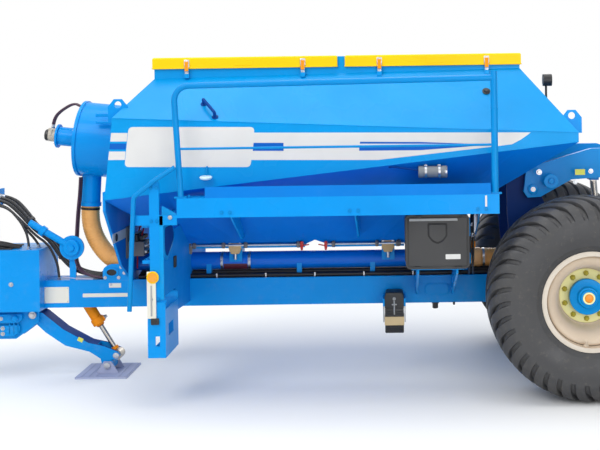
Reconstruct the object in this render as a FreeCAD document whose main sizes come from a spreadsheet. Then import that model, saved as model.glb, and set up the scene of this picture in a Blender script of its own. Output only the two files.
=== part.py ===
"""Seed hopper cart: a towed two-compartment seed hopper on a spine beam, parked on its leg.

Frame: millimetres, +X towards the rear, -Y the left side (ladder and work platform), +Z up.
The origin is on the ground under the middle of the whole machine.
Every driving size is a cell of the Dims sheet; the pieces are bound to it with expressions,
and the few shapes made by Part functions read the same cells.
"""
import FreeCAD, Part
import math
import os
import re
import Sketcher

Vector = FreeCAD.Vector
Rotation = FreeCAD.Rotation
Placement = FreeCAD.Placement

DIMENSIONS = {
    # Whole machine
    "paint_gap": 0.3, "pin_gap": 0.5,
    # Spine beam and its head block
    "beam_front_x": -1950, "beam_rear_x": 2720, "beam_half": 125, "beam_low": 556, "beam_top": 776,
    "beam_wall": 10, "slot_front_x": -1860, "slot_rear_x": -1310, "slot_half": 60,
    "head_front_x": -2620, "head_half": 250, "head_low": 548, "head_top": 1042, "head_wall": 12,
    # Drawbar, swivel head and its crossbar
    "drawbar_low": 600, "drawbar_top": 800, "drawbar_half": 110, "swivel_radius": 60,
    "ear_thick": 30, "drawbar_length": 504, "crossbar_ahead": 155,
    "crossbar_radius": 35, "crossbar_half": 482, "link_pin_radius": 18.3,
    "link_pin_length": 90, "swivel_room": 26, "crossbar_z": 700, "swivel_pin_radius": 30,
    # Axle and wheels
    "axle_x": 2320, "axle_z": 740, "axle_size": 140, "axle_half": 560, "spindle_radius": 45,
    "wheel_y": 955, "tyre_radius": 740, "tyre_half": 320, "bead_radius": 338, "tyre_wall": 32,
    "lug_height": 34, "lug_gap_half": 14, "crown_drop": 8, "shoulder_drop": 40, "shoulder_inset": 50,
    "lug_end_radius": 596, "flank_radius": 520, "inner_inset": 76, "inner_drop": 104,
    "crown_edge": 176, "crown_carcass": 26, "bead_inset": 12, "bead_draw": 24, "flange_cover": 8,
    "inner_bulge": 60,
    "rim_half": 285, "rim_flange": 355,
    "rim_well": 305, "rim_wall": 9, "disc_y": 945, "disc_thick": 14, "hub_radius": 128, "hub_nose": 1078,
    "hub_floor": 24, "stud_circle": 167.5, "stud_radius": 11, "nut_radius": 17, "nut_length": 20,
    "drum_radius": 196,
    # Parking leg
    "leg_pivot_x": -2050, "leg_pivot_z": 500, "leg_half": 84, "rod_ear": 22,
    "foot_pin_x": -1453, "foot_pin_z": 75, "rod_pin_x": -1386, "rod_pin_z": 150,
    "barrel_pin_x": -1690, "barrel_pin_z": 650,
    "leg_pin_radius": 22, "foot_front_x": -1680, "foot_rear_x": -1262, "foot_half": 250, "foot_thick": 14,
    "bracket_low": 305, "bracket_front_x": -2560, "cheek_inner": 91, "cheek_thick": 22,
    "eye_drift": 9.5, "rod_pin_radius": 15, "leg_barrel_radius": 48, "leg_barrel_length": 390,
    "leg_rod_radius": 20,
    # Hopper
    "wall": 6, "collar_front_x": -924, "collar_rear_x": 1886, "collar_front_z": 2395,
    "collar_rear_z": 2440, "collar_half": 620, "collar_rise": 109.7, "belt_half": 1000,
    "belt_top_front_x": -1158, "belt_top_front_z": 2105, "belt_low_front_x": -1225,
    "belt_low_front_z": 1497, "belt_rear_x": 2274, "belt_top_rear_z": 1953, "belt_low_rear_z": 1878,
    "outlet_front_x": -785, "outlet_rear_x": 989, "outlet_half": 100, "outlet_z": 1045,
    "ridge_front_x": 181, "ridge_x": 258, "ridge_rear_x": 346, "ridge_z": 1083, "partition_top": 2260,
    # Lids
    "lid_front_x": -936, "lid_gap_front_x": 485, "lid_gap_rear_x": 543, "lid_rear_x": 1896,
    "lid_half": 640, "lid_depth": 88, "hinge_rise": 18, "lid_skin": 6, "lid_hinge_y": 668,
    "hinge_radius": 12, "hinge_pin_radius": 5, "knuckle_half": 40,
    "hinge_inset": 220, "latch_inset": 265,
    # Walkway, handrail and ladder
    "deck_front_x": -652, "deck_rear_x": 1666, "deck_near": -1200, "deck_far": -945, "deck_top": 1520,
    "fascia_low": 1380, "plate": 10, "toe_front_x": -449, "toe_rear_x": 1605, "toe_top": 1600,
    "rail_top_z": 2340, "rail_y": -1165, "rail_front_x": -650, "rail_rear_x": 1640, "rail_radius": 22,
    "rail_bend": 105, "mid_rail_z": 1875, "mid_rail_radius": 9, "rear_post_top": 2405,
    "stile_front_x": -850, "stile_rear_x": -780, "stile_depth": 30, "ladder_near": -1200,
    "ladder_far": -740, "stile_low": 790, "stile_top": 1640, "fold_front_x": -872, "fold_rear_x": -743,
    "fold_low": 377, "fold_top": 778, "fold_pivot_x": -757, "fold_pivot_z": 765, "fold_pin_radius": 9,
    "grab_radius": 17,
    # Cross frames that carry the hopper
    "crossframe_thick": 15, "bulkhead_front_x": -1238, "bulkhead_rear_x": -1218, "tower_front_x": 1850,
    "tower_rear_x": 2160, "tower_y": 440, "tower_thick": 22, "tower_low": 620,
    # Air system
    "pipe_radius": 72.5, "pipe_wall": 4, "pipe_z": 905, "pipe_front_x": -1300, "pipe_rear_x": 1606,
    "drop_front_x": -397, "drop_rear_x": 849, "drop_half": 52, "hose_radius": 74,
    "fan_radius": 300, "fan_length": 478, "fan_z": 1876, "fan_skin": 5, "motor_neck": 77,
    "neck_length": 205, "motor_radius": 50, "motor_length": 95,
    "duct_half": 78, "duct_x": -1600, "duct_z": 1372, "duct_length": 300,
    "air_outlet_x": 2420,
    # Toolbox and wheel chock
    "toolbox_front_x": 988, "toolbox_rear_x": 1457, "toolbox_near": -1050, "toolbox_far": -650,
    "toolbox_low": 963, "toolbox_top": 1364, "toolbox_wall": 6, "door_thick": 14,
    "chock_front_x": 818, "chock_rear_x": 972, "chock_low": 349, "chock_top": 675,
    # Rear lift
    "arm_pivot_x": 1985, "arm_pivot_z": 1500, "arm_reach": 1370, "arm_inner": 468, "arm_thick": 70,
    "lift_pin_radius": 30,
    "eye_x": 2545, "eye_z": 1560, "lift_base_inset": 120, "lift_base_z": 880, "lift_barrel_radius": 60,
    "lift_barrel_length": 410, "lift_rod_radius": 28, "lift_pin_small": 22,
    "eye_pin_radius": 17, "coupler_z": 1470,
    "coupler_radius": 45, "coupler_pin_radius": 25.4, "coupler_pin_length": 100,
    # Hose carrier
    "rack_x": -2380, "rack_z": 1440, "line_radius": 13, "line_pitch": 30, "line_z": 800,
    "carrier_x": -1719, "carrier_z": 1045, "carrier_y": -135,
    # Fittings on the hopper
    "eye_y": 900, "eye_thick": 12, "front_eye_x": -1138, "front_eye_z": 2200, "rear_eye_x": 2238,
    "rear_eye_z": 2073, "eye_hole": 26, "latch_half": 22, "latch_deep": 16, "latch_drop": 38,
    "canister_radius": 45, "canister_front_x": 1089, "canister_rear_x": 1303, "canister_y": -987,
    "canister_z": 1674, "lamp_x": 2150, "lamp_y": -300, "lamp_z": 2350, "lamp_radius": 48,
}

doc = FreeCAD.newDocument("SeedHopperCart")
sheet = doc.addObject("Spreadsheet::Sheet", "Dims")
for row, (name, size) in enumerate(DIMENSIONS.items(), 1):
    sheet.set(f"A{row}", name)
    sheet.set(f"B{row}", str(size))
    sheet.setAlias(f"B{row}", name)
doc.recompute()

NAME = re.compile(r"[a-z]\w*")
NODES = []


def formula(text):
    """A formula written with plain dimension names, as a reference to the sheet's cells."""
    return NAME.sub(lambda word: "Dims." + word[0] if word[0] in DIMENSIONS else word[0], str(text))


def value(text):
    """The number that a formula gives now."""
    return float(sheet.evalExpression(formula(text)))


def point(x, y, z):
    return Vector(value(x), value(y), value(z))


def node(solid):
    """Mark an object as a finished sub-part; its label is the name of its file."""
    NODES.append(solid)
    return solid


# ---- Bound primitives and booleans -------------------------------------------------------------

def box(label, x, y, z):
    """A block between three (low, high) pairs of formulas."""
    solid = doc.addObject("Part::Box", label)
    for side, axis, (low, high) in (("Length", "x", x), ("Width", "y", y), ("Height", "z", z)):
        solid.setExpression(side, formula(f"({high}) - ({low})"))
        solid.setExpression(f"Placement.Base.{axis}", formula(low))
    return solid


TURNS = {"x": (Vector(0, 1, 0), 90), "y": (Vector(1, 0, 0), -90), "z": (Vector(0, 0, 1), 0)}


def rod(label, axis, low, high, centre, radius):
    """A cylinder along one axis; centre gives the other two coordinates in x, y, z order."""
    solid = doc.addObject("Part::Cylinder", label)
    solid.Placement = Placement(Vector(), Rotation(*TURNS[axis]))
    solid.setExpression("Radius", formula(radius))
    solid.setExpression("Height", formula(f"({high}) - ({low})"))
    solid.setExpression(f"Placement.Base.{axis}", formula(low))
    for other, place in zip([name for name in "xyz" if name != axis], centre):
        solid.setExpression(f"Placement.Base.{other}", formula(place))
    return solid


def fuse(label, *solids):
    joined = doc.addObject("Part::MultiFuse", label)
    joined.Shapes = list(solids)
    joined.Refine = True
    return joined


def cut(label, base, *tools):
    trimmed = doc.addObject("Part::Cut", label)
    trimmed.Base = base
    trimmed.Tool = tools[0] if len(tools) == 1 else fuse(label + "_tools", *tools)
    return trimmed


def mirrored(label, source):
    """The same piece on the other side of the machine's centre plane."""
    twin = doc.addObject("Part::Mirroring", label)
    twin.Source = source
    twin.Normal = Vector(0, 1, 0)
    return twin


def outline_sketch(body, plane, outline):
    """A closed outline of straight edges whose corners are bound to formulas."""
    sketch = body.newObject("Sketcher::SketchObject", body.Name + "_outline")
    origin = {feature.Role: feature for feature in body.Origin.OriginFeatures}
    sketch.AttachmentSupport = [(origin[plane + "_Plane"], "")]
    sketch.MapMode = "FlatFace"
    corners = [Vector(value(across), value(up), 0) for across, up in outline]
    for index, corner in enumerate(corners):
        sketch.addGeometry(Part.LineSegment(corner, corners[(index + 1) % len(corners)]))
    for index in range(len(corners)):
        following = (index + 1) % len(corners)
        sketch.addConstraint(Sketcher.Constraint("Coincident", index, 2, following, 1))
    for index, (across, up) in enumerate(outline):
        for kind, text, number in (("DistanceX", across, corners[index].x),
                                   ("DistanceY", up, corners[index].y)):
            place = sketch.addConstraint(Sketcher.Constraint(kind, -1, 1, index, 1, number))
            sketch.setExpression(f"Constraints[{place}]", formula(text))
    return sketch


def plate(label, plane, outline, low, high, fillet=None):
    """A plate with the given outline: its thickness runs from low to high across its plane."""
    body = doc.addObject("PartDesign::Body", label)
    sketch = outline_sketch(body, plane, outline)
    pad = body.newObject("PartDesign::Pad", label + "_pad")
    pad.Profile = sketch
    pad.setExpression("Length", formula(f"({high}) - ({low})"))
    across = {"XY": "z", "XZ": "y", "YZ": "x"}[plane]
    body.setExpression(f"Placement.Base.{across}", formula(high if plane == "XZ" else low))
    body.Tip = pad
    return body


def turned(label, outline, x, y, z):
    """A ring turned about a line along Y; the outline is given as (offset along Y, radius)."""
    body = doc.addObject("PartDesign::Body", label)
    sketch = outline_sketch(body, "YZ", outline)
    turn = body.newObject("PartDesign::Revolution", label + "_turn")
    turn.Profile = sketch
    turn.ReferenceAxis = (sketch, ["H_Axis"])
    turn.Angle = 360
    for axis, place in (("x", x), ("y", y), ("z", z)):
        body.setExpression(f"Placement.Base.{axis}", formula(place))
    body.Tip = turn
    return body


def shaped(label, shape):
    """A sub-part whose shape comes from Part functions."""
    feature = doc.addObject("Part::Feature", label)
    feature.Shape = shape
    return feature


# ---- Shapes by Part functions ------------------------------------------------------------------

def rounded_path(points, bends):
    """Straight runs joined by tangent arcs; one radius for each inner point."""
    edges = []
    start = points[0]
    for before, corner, after, radius in zip(points, points[1:], points[2:], bends):
        back = (before - corner).normalize()
        onward = (after - corner).normalize()
        half_turn = (math.pi - back.getAngle(onward)) / 2
        reach = radius * math.tan(half_turn)
        arc_start = corner + back * reach
        arc_end = corner + onward * reach
        middle_line = (back + onward).normalize()
        arc_middle = corner + middle_line * (radius / math.cos(half_turn) - radius)
        edges.append(Part.LineSegment(start, arc_start).toShape())
        edges.append(Part.Arc(arc_start, arc_middle, arc_end).toShape())
        start = arc_end
    edges.append(Part.LineSegment(start, points[-1]).toShape())
    return Part.Wire(edges)


def swept(points, radius, bends=None, hose=False):
    """A round bar or hose along a rounded path."""
    if bends is None:
        bends = []
        for before, corner, after in zip(points, points[1:], points[2:]):
            turn = math.pi - (before - corner).getAngle(after - corner)
            shorter = min((before - corner).Length, (after - corner).Length)
            bends.append(0.45 * shorter / math.tan(turn / 2))
        if hose:
            print("bend radii:", [round(bend) for bend in bends])
    path = rounded_path(points, bends)
    section = Part.Wire(Part.Circle(points[0], points[1] - points[0], radius).toShape())
    return path.makePipeShell([section], True, True)


RAIL_STEPS = 8


def along_rail(start, end, steps):
    return [start + (end - start) * (step / steps) for step in range(steps + 1)]


def quad(first, second, third, fourth, steps=1):
    """Faces between two rails: one flat face where they allow it, or narrow triangles."""
    near = along_rail(first, second, steps)
    far = along_rail(fourth, third, steps)
    normal = (third - first).cross(fourth - second).normalize()
    if abs(normal.dot(second - first)) < 1e-6:
        around = near + far[::-1]
        return [Part.Face(Part.makePolygon(around + around[:1]))]
    triangles = []
    for step in range(steps):
        for corners in ((near[step], near[step + 1], far[step + 1]), (near[step], far[step + 1], far[step])):
            triangles.append(Part.Face(Part.makePolygon(list(corners) + [corners[0]])))
    return triangles


def closed(faces):
    """One solid bounded by the given faces."""
    shell = Part.makeShell(faces)
    shell.sewShape()
    solid = Part.makeSolid(shell)
    if solid.Volume < 0:
        solid.reverse()
    return solid


def meet(planes):
    """The point where three planes, each a normal and its distance, meet."""
    (one, reach_one), (two, reach_two), (three, reach_three) = planes
    pieces = (two.cross(three) * reach_one + three.cross(one) * reach_two + one.cross(two) * reach_three)
    return pieces * (1 / one.dot(two.cross(three)))


def hopper_corners():
    """Outer corners by level (collar, belt top, belt low, outlet), end and side."""
    levels = [
        (("collar_front_x", "collar_front_z"), ("collar_rear_x", "collar_rear_z"), "collar_half"),
        (("belt_top_front_x", "belt_top_front_z"), ("belt_rear_x", "belt_top_rear_z"), "belt_half"),
        (("belt_low_front_x", "belt_low_front_z"), ("belt_rear_x", "belt_low_rear_z"), "belt_half"),
        (("outlet_front_x", "outlet_z"), ("outlet_rear_x", "outlet_z"), "outlet_half")]
    corners = {}
    for level, (front, rear, half) in enumerate(levels):
        for end, (x, z) in enumerate((front, rear)):
            for side in (-1, 1):
                corners[level, end, side] = Vector(value(x), side * value(half), value(z))
    return corners


def inner_corners(outer, wall):
    """The corners of the hollow, one wall thickness inside the outer ones."""
    inner = {}
    for (level, end, side), corner in outer.items():
        def outward(first, second, hint):
            normal = (first - corner).cross(second - corner).normalize()
            return normal if normal.dot(hint) > 0 else normal * -1
        along = outer[level, 1 - end, side]
        across = outer[level, end, -side]
        sideways = Vector(0, side, 0)
        endways = Vector(2 * end - 1, 0, 0)
        if level in (0, 3):
            next_level = outer[1 if level == 0 else 2, end, side]
            planes = [(outward(along, next_level, sideways), -wall),
                      (outward(across, next_level, endways), -wall),
                      (outward(along, across, Vector(0, 0, 1)), 0)]
        else:
            belt_mate = outer[3 - level, end, side]
            slope_mate = outer[0 if level == 1 else 3, end, side]
            planes = [(sideways, -wall),
                      (outward(across, belt_mate, endways), -wall),
                      (outward(along, slope_mate, sideways), -wall)]
        inner[level, end, side] = corner + meet(planes)
    return inner


def hopper_solid(corners):
    """The closed block that the eight pairs of corners bound."""
    faces = []
    for level in (0, 3):
        faces += quad(corners[level, 0, -1], corners[level, 1, -1],
                      corners[level, 1, 1], corners[level, 0, 1], RAIL_STEPS)
    for level in range(3):
        for side in (-1, 1):
            faces += quad(corners[level, 0, side], corners[level, 1, side],
                          corners[level + 1, 1, side], corners[level + 1, 0, side], RAIL_STEPS)
        for end in (0, 1):
            faces += quad(corners[level, end, -1], corners[level, end, 1],
                          corners[level + 1, end, 1], corners[level + 1, end, -1])
    return closed(faces)


def hopper_panel(outer, inner, first, second, steps):
    """A folded wall from one upright edge of the hopper to the next, mitred at both."""
    faces = []
    for level in range(3):
        for skin in (outer, inner):
            faces += quad(skin[(level,) + first], skin[(level,) + second],
                          skin[(level + 1,) + second], skin[(level + 1,) + first], steps)
        for edge in (first, second):
            faces += quad(outer[(level,) + edge], outer[(level + 1,) + edge],
                          inner[(level + 1,) + edge], inner[(level,) + edge])
    for level in (0, 3):
        faces += quad(outer[(level,) + first], outer[(level,) + second],
                      inner[(level,) + second], inner[(level,) + first], steps)
    return closed(faces)


def prism(outline, low, high):
    """A bar along Y with an outline in X and Z."""
    corners = [Vector(value(x), value(low), value(z)) for x, z in outline]
    face = Part.Face(Part.makePolygon(corners + corners[:1]))
    return face.extrude(Vector(0, value(high) - value(low), 0))


OUTER = hopper_corners()
INNER = inner_corners(OUTER, value("wall"))
LINING = inner_corners(OUTER, value("wall + paint_gap"))
HOPPER_BLOCK = hopper_solid(OUTER)
HOPPER_HOLLOW = hopper_solid(LINING)
HOPPER_ROOM = shaped("hopper_block", HOPPER_BLOCK)
DRAWBAR_NOSE = "(head_front_x - drawbar_length)"
SWIVEL_X = f"({DRAWBAR_NOSE} - swivel_room - swivel_radius)"
CROSSBAR_X = f"({SWIVEL_X} - crossbar_ahead)"
ARM_TIP = "(arm_pivot_x + arm_reach)"
LIFT_BASE_X = "(beam_rear_x - lift_base_inset)"
COLLAR_TOP = "(collar_rear_z + collar_rise)"
LID_TOP = f"({COLLAR_TOP} + paint_gap + lid_skin)"
LID_LOW = f"({LID_TOP} - lid_depth)"
LID_HINGE_Z = f"({LID_LOW} + hinge_rise)"
LATCH_LOW = f"({LID_LOW} - latch_drop)"


# ---- Chassis -----------------------------------------------------------------------------------

def make_spine_beam():
    """Box beam; a slot below lets the leg's cylinder in, a notch above seats the axle."""
    skin = box("beam_skin", ("beam_front_x", "beam_rear_x"), ("-beam_half", "beam_half"),
               ("beam_low", "beam_top"))
    hollow = box("beam_hollow", ("beam_front_x + beam_wall", "beam_rear_x - beam_wall"),
                 ("beam_wall - beam_half", "beam_half - beam_wall"),
                 ("beam_low + beam_wall", "beam_top - beam_wall"))
    slot = box("beam_slot", ("slot_front_x", "slot_rear_x"), ("-slot_half", "slot_half"),
               ("beam_low - 1", "beam_low + beam_wall + 1"))
    notch = box("axle_notch", ("axle_x - axle_size / 2", "axle_x + axle_size / 2"),
                ("-beam_half - 1", "beam_half + 1"), ("axle_z - axle_size / 2", "beam_top + 1"))
    pin = rod("leg_barrel_pin", "y", "beam_wall - beam_half", "beam_half - beam_wall",
              ("barrel_pin_x", "barrel_pin_z"), "leg_pin_radius")
    ears = [plate(f"{side}_base_ear", "XZ",
                  [(f"{LIFT_BASE_X} - 80", "beam_top"), (f"{LIFT_BASE_X} - 36", "lift_base_z + 36"),
                   (f"{LIFT_BASE_X} + 36", "lift_base_z + 36"), (f"{LIFT_BASE_X} + 80", "beam_top")],
                  low, high)
            for side, low, high in (("left", "-64", "-44"), ("right", "44", "64"))]
    base_pin = rod("base_pin", "y", "-72", "72", (LIFT_BASE_X, "lift_base_z"), "lift_pin_small")
    node(fuse("spine_beam", cut("beam_box", skin, hollow, slot, notch), pin, *ears, base_pin))


def make_head_block():
    """Tall hollow block at the beam's front end, cut down behind the drawbar."""
    skin = box("head_skin", ("head_front_x", "beam_front_x"), ("-head_half", "head_half"),
               ("head_low", "head_top"))
    hollow = box("head_hollow", ("head_front_x + head_wall", "beam_front_x - head_wall"),
                 ("head_wall - head_half", "head_half - head_wall"),
                 ("head_low + head_wall", "head_top - head_wall"))
    node(cut("head_block", skin, hollow))


def make_drawbar():
    """Tapered box from the head block to the two ears of the swivel."""
    node(fuse("drawbar",
              plate("drawbar_taper", "XY",
                    [("head_front_x", "-head_half"), ("head_front_x", "head_half"),
                     (DRAWBAR_NOSE, "drawbar_half"), (DRAWBAR_NOSE, "-drawbar_half")],
                    "drawbar_low", "drawbar_top"),
              box("drawbar_ear_low", (f"{SWIVEL_X} - swivel_radius", DRAWBAR_NOSE),
                  ("-swivel_radius", "swivel_radius"), ("drawbar_low", "drawbar_low + ear_thick")),
              box("drawbar_ear_top", (f"{SWIVEL_X} - swivel_radius", DRAWBAR_NOSE),
                  ("-swivel_radius", "swivel_radius"), ("drawbar_top - ear_thick", "drawbar_top")),
              rod("swivel_pin", "z", "drawbar_low - 20", "drawbar_top + 20",
                  (SWIVEL_X, "0"), "swivel_pin_radius")))


def make_hitch():
    """Swivelling block between the ears, with the crossbar that the tractor's links lift."""
    block = box("hitch_block",
                (CROSSBAR_X, f"{SWIVEL_X} + swivel_radius - 12"),
                ("-swivel_radius", "swivel_radius"),
                ("drawbar_low + ear_thick + pin_gap", "drawbar_top - ear_thick - pin_gap"))
    bore = rod("hitch_bore", "z", "drawbar_low", "drawbar_top", (SWIVEL_X, "0"),
               "swivel_pin_radius + 0.08")
    bar = rod("hitch_bar", "y", "-crossbar_half", "crossbar_half",
              (CROSSBAR_X, "crossbar_z"), "crossbar_radius")
    pins = rod("link_pins", "y", "-crossbar_half - link_pin_length", "crossbar_half + link_pin_length",
               (CROSSBAR_X, "crossbar_z"), "link_pin_radius")
    node(cut("hitch_crossbar", fuse("hitch_solid", block, bar, pins), bore))


def make_leg_bracket():
    """Two cheeks under the head block, tied at the front, with the leg's pivot pin."""
    outline = [("bracket_front_x", "head_low"), ("bracket_front_x", "bracket_low"),
               ("leg_pivot_x - 140", "bracket_low"), ("leg_pivot_x + 48", "leg_pivot_z - 60"),
               ("leg_pivot_x + 48", "head_low")]
    near = plate("left_cheek", "XZ", outline, "-cheek_inner - cheek_thick", "-cheek_inner")
    far = plate("right_cheek", "XZ", outline, "cheek_inner", "cheek_inner + cheek_thick")
    web = box("bracket_web", ("bracket_front_x", "bracket_front_x + cheek_thick"),
              ("-cheek_inner", "cheek_inner"), ("bracket_low", "head_low"))
    pin = rod("leg_pin", "y", "-cheek_inner - cheek_thick - 12", "cheek_inner + cheek_thick + 12",
              ("leg_pivot_x", "leg_pivot_z"), "leg_pin_radius")
    node(fuse("leg_bracket", near, far, web, pin))


def make_parking_leg():
    """Curved leg with an ear for the cylinder's rod and a pin for the foot."""
    outline = [("leg_pivot_x - 40", "leg_pivot_z - 28"), ("leg_pivot_x - 30", "leg_pivot_z + 34"),
               ("leg_pivot_x + 70", "leg_pivot_z + 6"), ("leg_pivot_x + 235", "leg_pivot_z - 130"),
               ("leg_pivot_x + 440", "leg_pivot_z - 243"), ("rod_pin_x - 95", "rod_pin_z + 78"),
               ("rod_pin_x - 95", "rod_pin_z - 10"), ("foot_pin_x + 38", "foot_pin_z + 34"),
               ("foot_pin_x + 38", "foot_pin_z - 28"), ("foot_pin_x - 42", "foot_pin_z - 28"),
               ("foot_pin_x - 60", "foot_pin_z + 52"), ("foot_pin_x - 150", "foot_pin_z + 110"),
               ("leg_pivot_x + 250", "leg_pivot_z - 262"), ("leg_pivot_x + 90", "leg_pivot_z - 152")]
    arm = plate("leg_arm", "XZ", outline, "-leg_half", "leg_half")
    ears = [plate(side + "_rod_ear", "XZ",
                  [("rod_pin_x - 95", "rod_pin_z + 78"), ("rod_pin_x + 12", "rod_pin_z + 32"),
                   ("rod_pin_x + 30", "rod_pin_z"), ("rod_pin_x + 8", "rod_pin_z - 32"),
                   ("rod_pin_x - 95", "rod_pin_z - 32")], low, high)
            for side, low, high in (("left", "-leg_half", "rod_ear - leg_half"),
                                    ("right", "leg_half - rod_ear", "leg_half"))]
    rod_pin = rod("rod_pin", "y", "-leg_half - 5", "leg_half + 5", ("rod_pin_x", "rod_pin_z"),
                  "rod_pin_radius")
    trough = plate("barrel_trough", "XZ",
                   [("rod_pin_x - 88", "rod_pin_z - 16"), ("rod_pin_x - 160", "rod_pin_z + 72"),
                    ("rod_pin_x - 160", "rod_pin_z + 120"), ("rod_pin_x - 88", "rod_pin_z + 120")],
                   "rod_ear - leg_half", "leg_half - rod_ear")
    foot_pin = rod("foot_pin", "y", "-leg_half - 32", "leg_half + 32", ("foot_pin_x", "foot_pin_z"),
                   "leg_pin_radius")
    bore = rod("leg_bore", "y", "-leg_half - 1", "leg_half + 1", ("leg_pivot_x", "leg_pivot_z"),
               "leg_pin_radius + 0.08")
    node(fuse("parking_leg", cut("bored_arm", arm, bore, trough), *ears, rod_pin, foot_pin))


def make_leg_foot():
    """Flat ground plate with two ears that hang on the leg's foot pin."""
    sole = box("foot_sole", ("foot_front_x", "foot_rear_x"), ("-foot_half", "foot_half"),
               ("0", "foot_thick"))
    outline = [("foot_pin_x - 90", "foot_thick"), ("foot_pin_x - 30", "foot_pin_z + 32"),
               ("foot_pin_x + 30", "foot_pin_z + 32"), ("foot_pin_x + 90", "foot_thick")]
    ears = [plate(side + "_foot_ear", "XZ", outline, low, high)
            for side, low, high in (("left", "-leg_half - 26", "-leg_half - 6"),
                                    ("right", "leg_half + 6", "leg_half + 26"))]
    bore = rod("foot_bore", "y", "-leg_half - 40", "leg_half + 40", ("foot_pin_x", "foot_pin_z"),
               "leg_pin_radius + 0.08")
    node(cut("leg_foot", fuse("foot_solid", sole, *ears), bore))


def cylinder_pair(name, base, eye, barrel_radius, barrel_length, rod_radius, base_pin, eye_pin, half):
    """Hydraulic cylinder between a base pin and a rod-eye pin: barrel and rod as two sub-parts."""
    start = point(base[0], "0", base[1])
    end = point(eye[0], "0", eye[1])
    along = (end - start).normalize()
    across = Vector(0, value(half), 0)
    radius = value(barrel_radius)
    length = value(barrel_length)
    pin = value(base_pin)

    def cylinder(size, low, high):
        return Part.makeCylinder(size, high - low, start + along * low, along)

    def eye_ring(centre, hole):
        ring = Part.makeCylinder(hole + 16, 2 * across.y, centre - across, Vector(0, 1, 0))
        return ring, Part.makeCylinder(hole, 2 * across.y + 2, centre - across - Vector(0, 1, 0),
                                       Vector(0, 1, 0))

    ring, hole = eye_ring(start, pin + 0.08)
    barrel = ring.fuse([cylinder(pin + 12, 0, pin + 30), cylinder(radius, pin + 26, length),
                        cylinder(radius + 6, length - 40, length)])
    bore = cylinder(value(rod_radius) + 0.08, pin + 60, length + 1)
    node(shaped(name + "_barrel", barrel.cut([hole, bore]).removeSplitter()))
    reach = (end - start).Length
    head, head_hole = eye_ring(end, value(f"{eye_pin} + eye_drift"))
    shaft = cylinder(value(rod_radius), pin + 60 + ROD_STOP[name], reach - value(eye_pin))
    node(shaped(name + "_rod", head.fuse(shaft).cut(head_hole).removeSplitter()))


# Clear length left in each barrel behind the rod, for its stroke
ROD_STOP = {"leg_cylinder": 190, "lift_cylinder": 215}


def make_axle():
    tube = box("axle_tube", ("axle_x - axle_size / 2", "axle_x + axle_size / 2"),
               ("-axle_half", "axle_half"), ("axle_z - axle_size / 2", "axle_z + axle_size / 2"))
    spindles = rod("spindles", "y", "hub_floor + pin_gap - disc_y", "disc_y - hub_floor - pin_gap",
                   ("axle_x", "axle_z"), "spindle_radius")
    node(fuse("axle", tube, spindles))


# ---- Wheels ------------------------------------------------------------------------------------

LUGS = 38
LUG_SHARE = 0.61
FLANK_SHARE = 0.07
LUG_SWEEP = {"crown": 0.55, "shoulder": 1.3, "end": 1.75}


def tyre_row(side, y, corners, sweep, step=1):
    """A closed row of points round the tyre's middle, each after its place in lug pitches.

    side is -1 outboard and 1 inboard, where the lugs stand half a pitch on; corners are the
    (share of a pitch, radius) pairs that repeat; sweep is how far the lugs' curve has come.
    """
    row = []
    for lug in range(0, LUGS, step):
        for share, radius in corners:
            place = lug + share + (1 + side) / 4
            turn = 2 * math.pi * (place + sweep) / LUGS
            row.append((place, Vector(-radius * math.sin(turn), side * y, -radius * math.cos(turn))))
    return row


def stitched(near, far):
    """Triangles between two closed rows, matched by their places; the wider-spaced row leads."""
    lead = 1e-9 if len(far) <= len(near) else -1e-9
    near = near + [(near[0][0] + LUGS, near[0][1])]
    far = far + [(far[0][0] + LUGS, far[0][1])]
    triangles = []
    one = two = 0
    while one < len(near) - 1 or two < len(far) - 1:
        far_next = far[two + 1][0] if two < len(far) - 1 else math.inf
        near_next = near[one + 1][0] if one < len(near) - 1 else math.inf
        if far_next <= near_next + lead:
            corners = [near[one][1], far[two + 1][1], far[two][1]]
            two += 1
        else:
            corners = [near[one][1], near[one + 1][1], far[two][1]]
            one += 1
        ends = corners[1:] + corners[:1]
        if min((end - start).Length for start, end in zip(corners, ends)) > 1e-6:
            triangles.append(Part.Face(Part.makePolygon(corners + corners[:1])))
    return triangles


def tyre_side(side):
    """Rows of one half, from the gap between the lugs over the tread and wall and back inside."""
    crown, half, wall = value("tyre_radius"), value("tyre_half"), value("tyre_wall")
    gap, height = value("lug_gap_half"), value("lug_height")
    bead, bead_y = value("bead_radius"), value("rim_half - bead_inset")
    bead_draw = value("bead_draw")

    def lugs(y, top, sweep):
        floor = top - height
        return tyre_row(side, y, [(-FLANK_SHARE, floor), (0, top), (LUG_SHARE, top),
                                  (LUG_SHARE + FLANK_SHARE, floor)], sweep)

    def ring(y, radius, step=1):
        return tyre_row(side, y, [(0, radius)], LUG_SWEEP["end"], step)

    return [
        tyre_row(side, gap, [(-FLANK_SHARE, crown - height), (LUG_SHARE + FLANK_SHARE, crown - height)], 0),
        lugs(gap, crown, 0),
        lugs(value("crown_edge"), crown - value("crown_drop"), LUG_SWEEP["crown"]),
        lugs(half - value("shoulder_inset"), crown - value("shoulder_drop"), LUG_SWEEP["shoulder"]),
        tyre_row(side, half, [(0, value("lug_end_radius")), (LUG_SHARE, value("lug_end_radius"))],
                 LUG_SWEEP["end"]),
        ring(half, value("flank_radius")),
        ring(bead_y, value("rim_flange + flange_cover")),
        ring(bead_y, bead / math.cos(math.pi / LUGS)),
        ring(bead_y - wall, bead / math.cos(2 * math.pi / LUGS), 2),
        ring(half - wall - bead_draw, value("rim_flange + inner_bulge"), 2),
        ring(half - wall, value("flank_radius"), 2),
        ring(half - value("inner_inset"), crown - value("inner_drop"), 2)]


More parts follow.
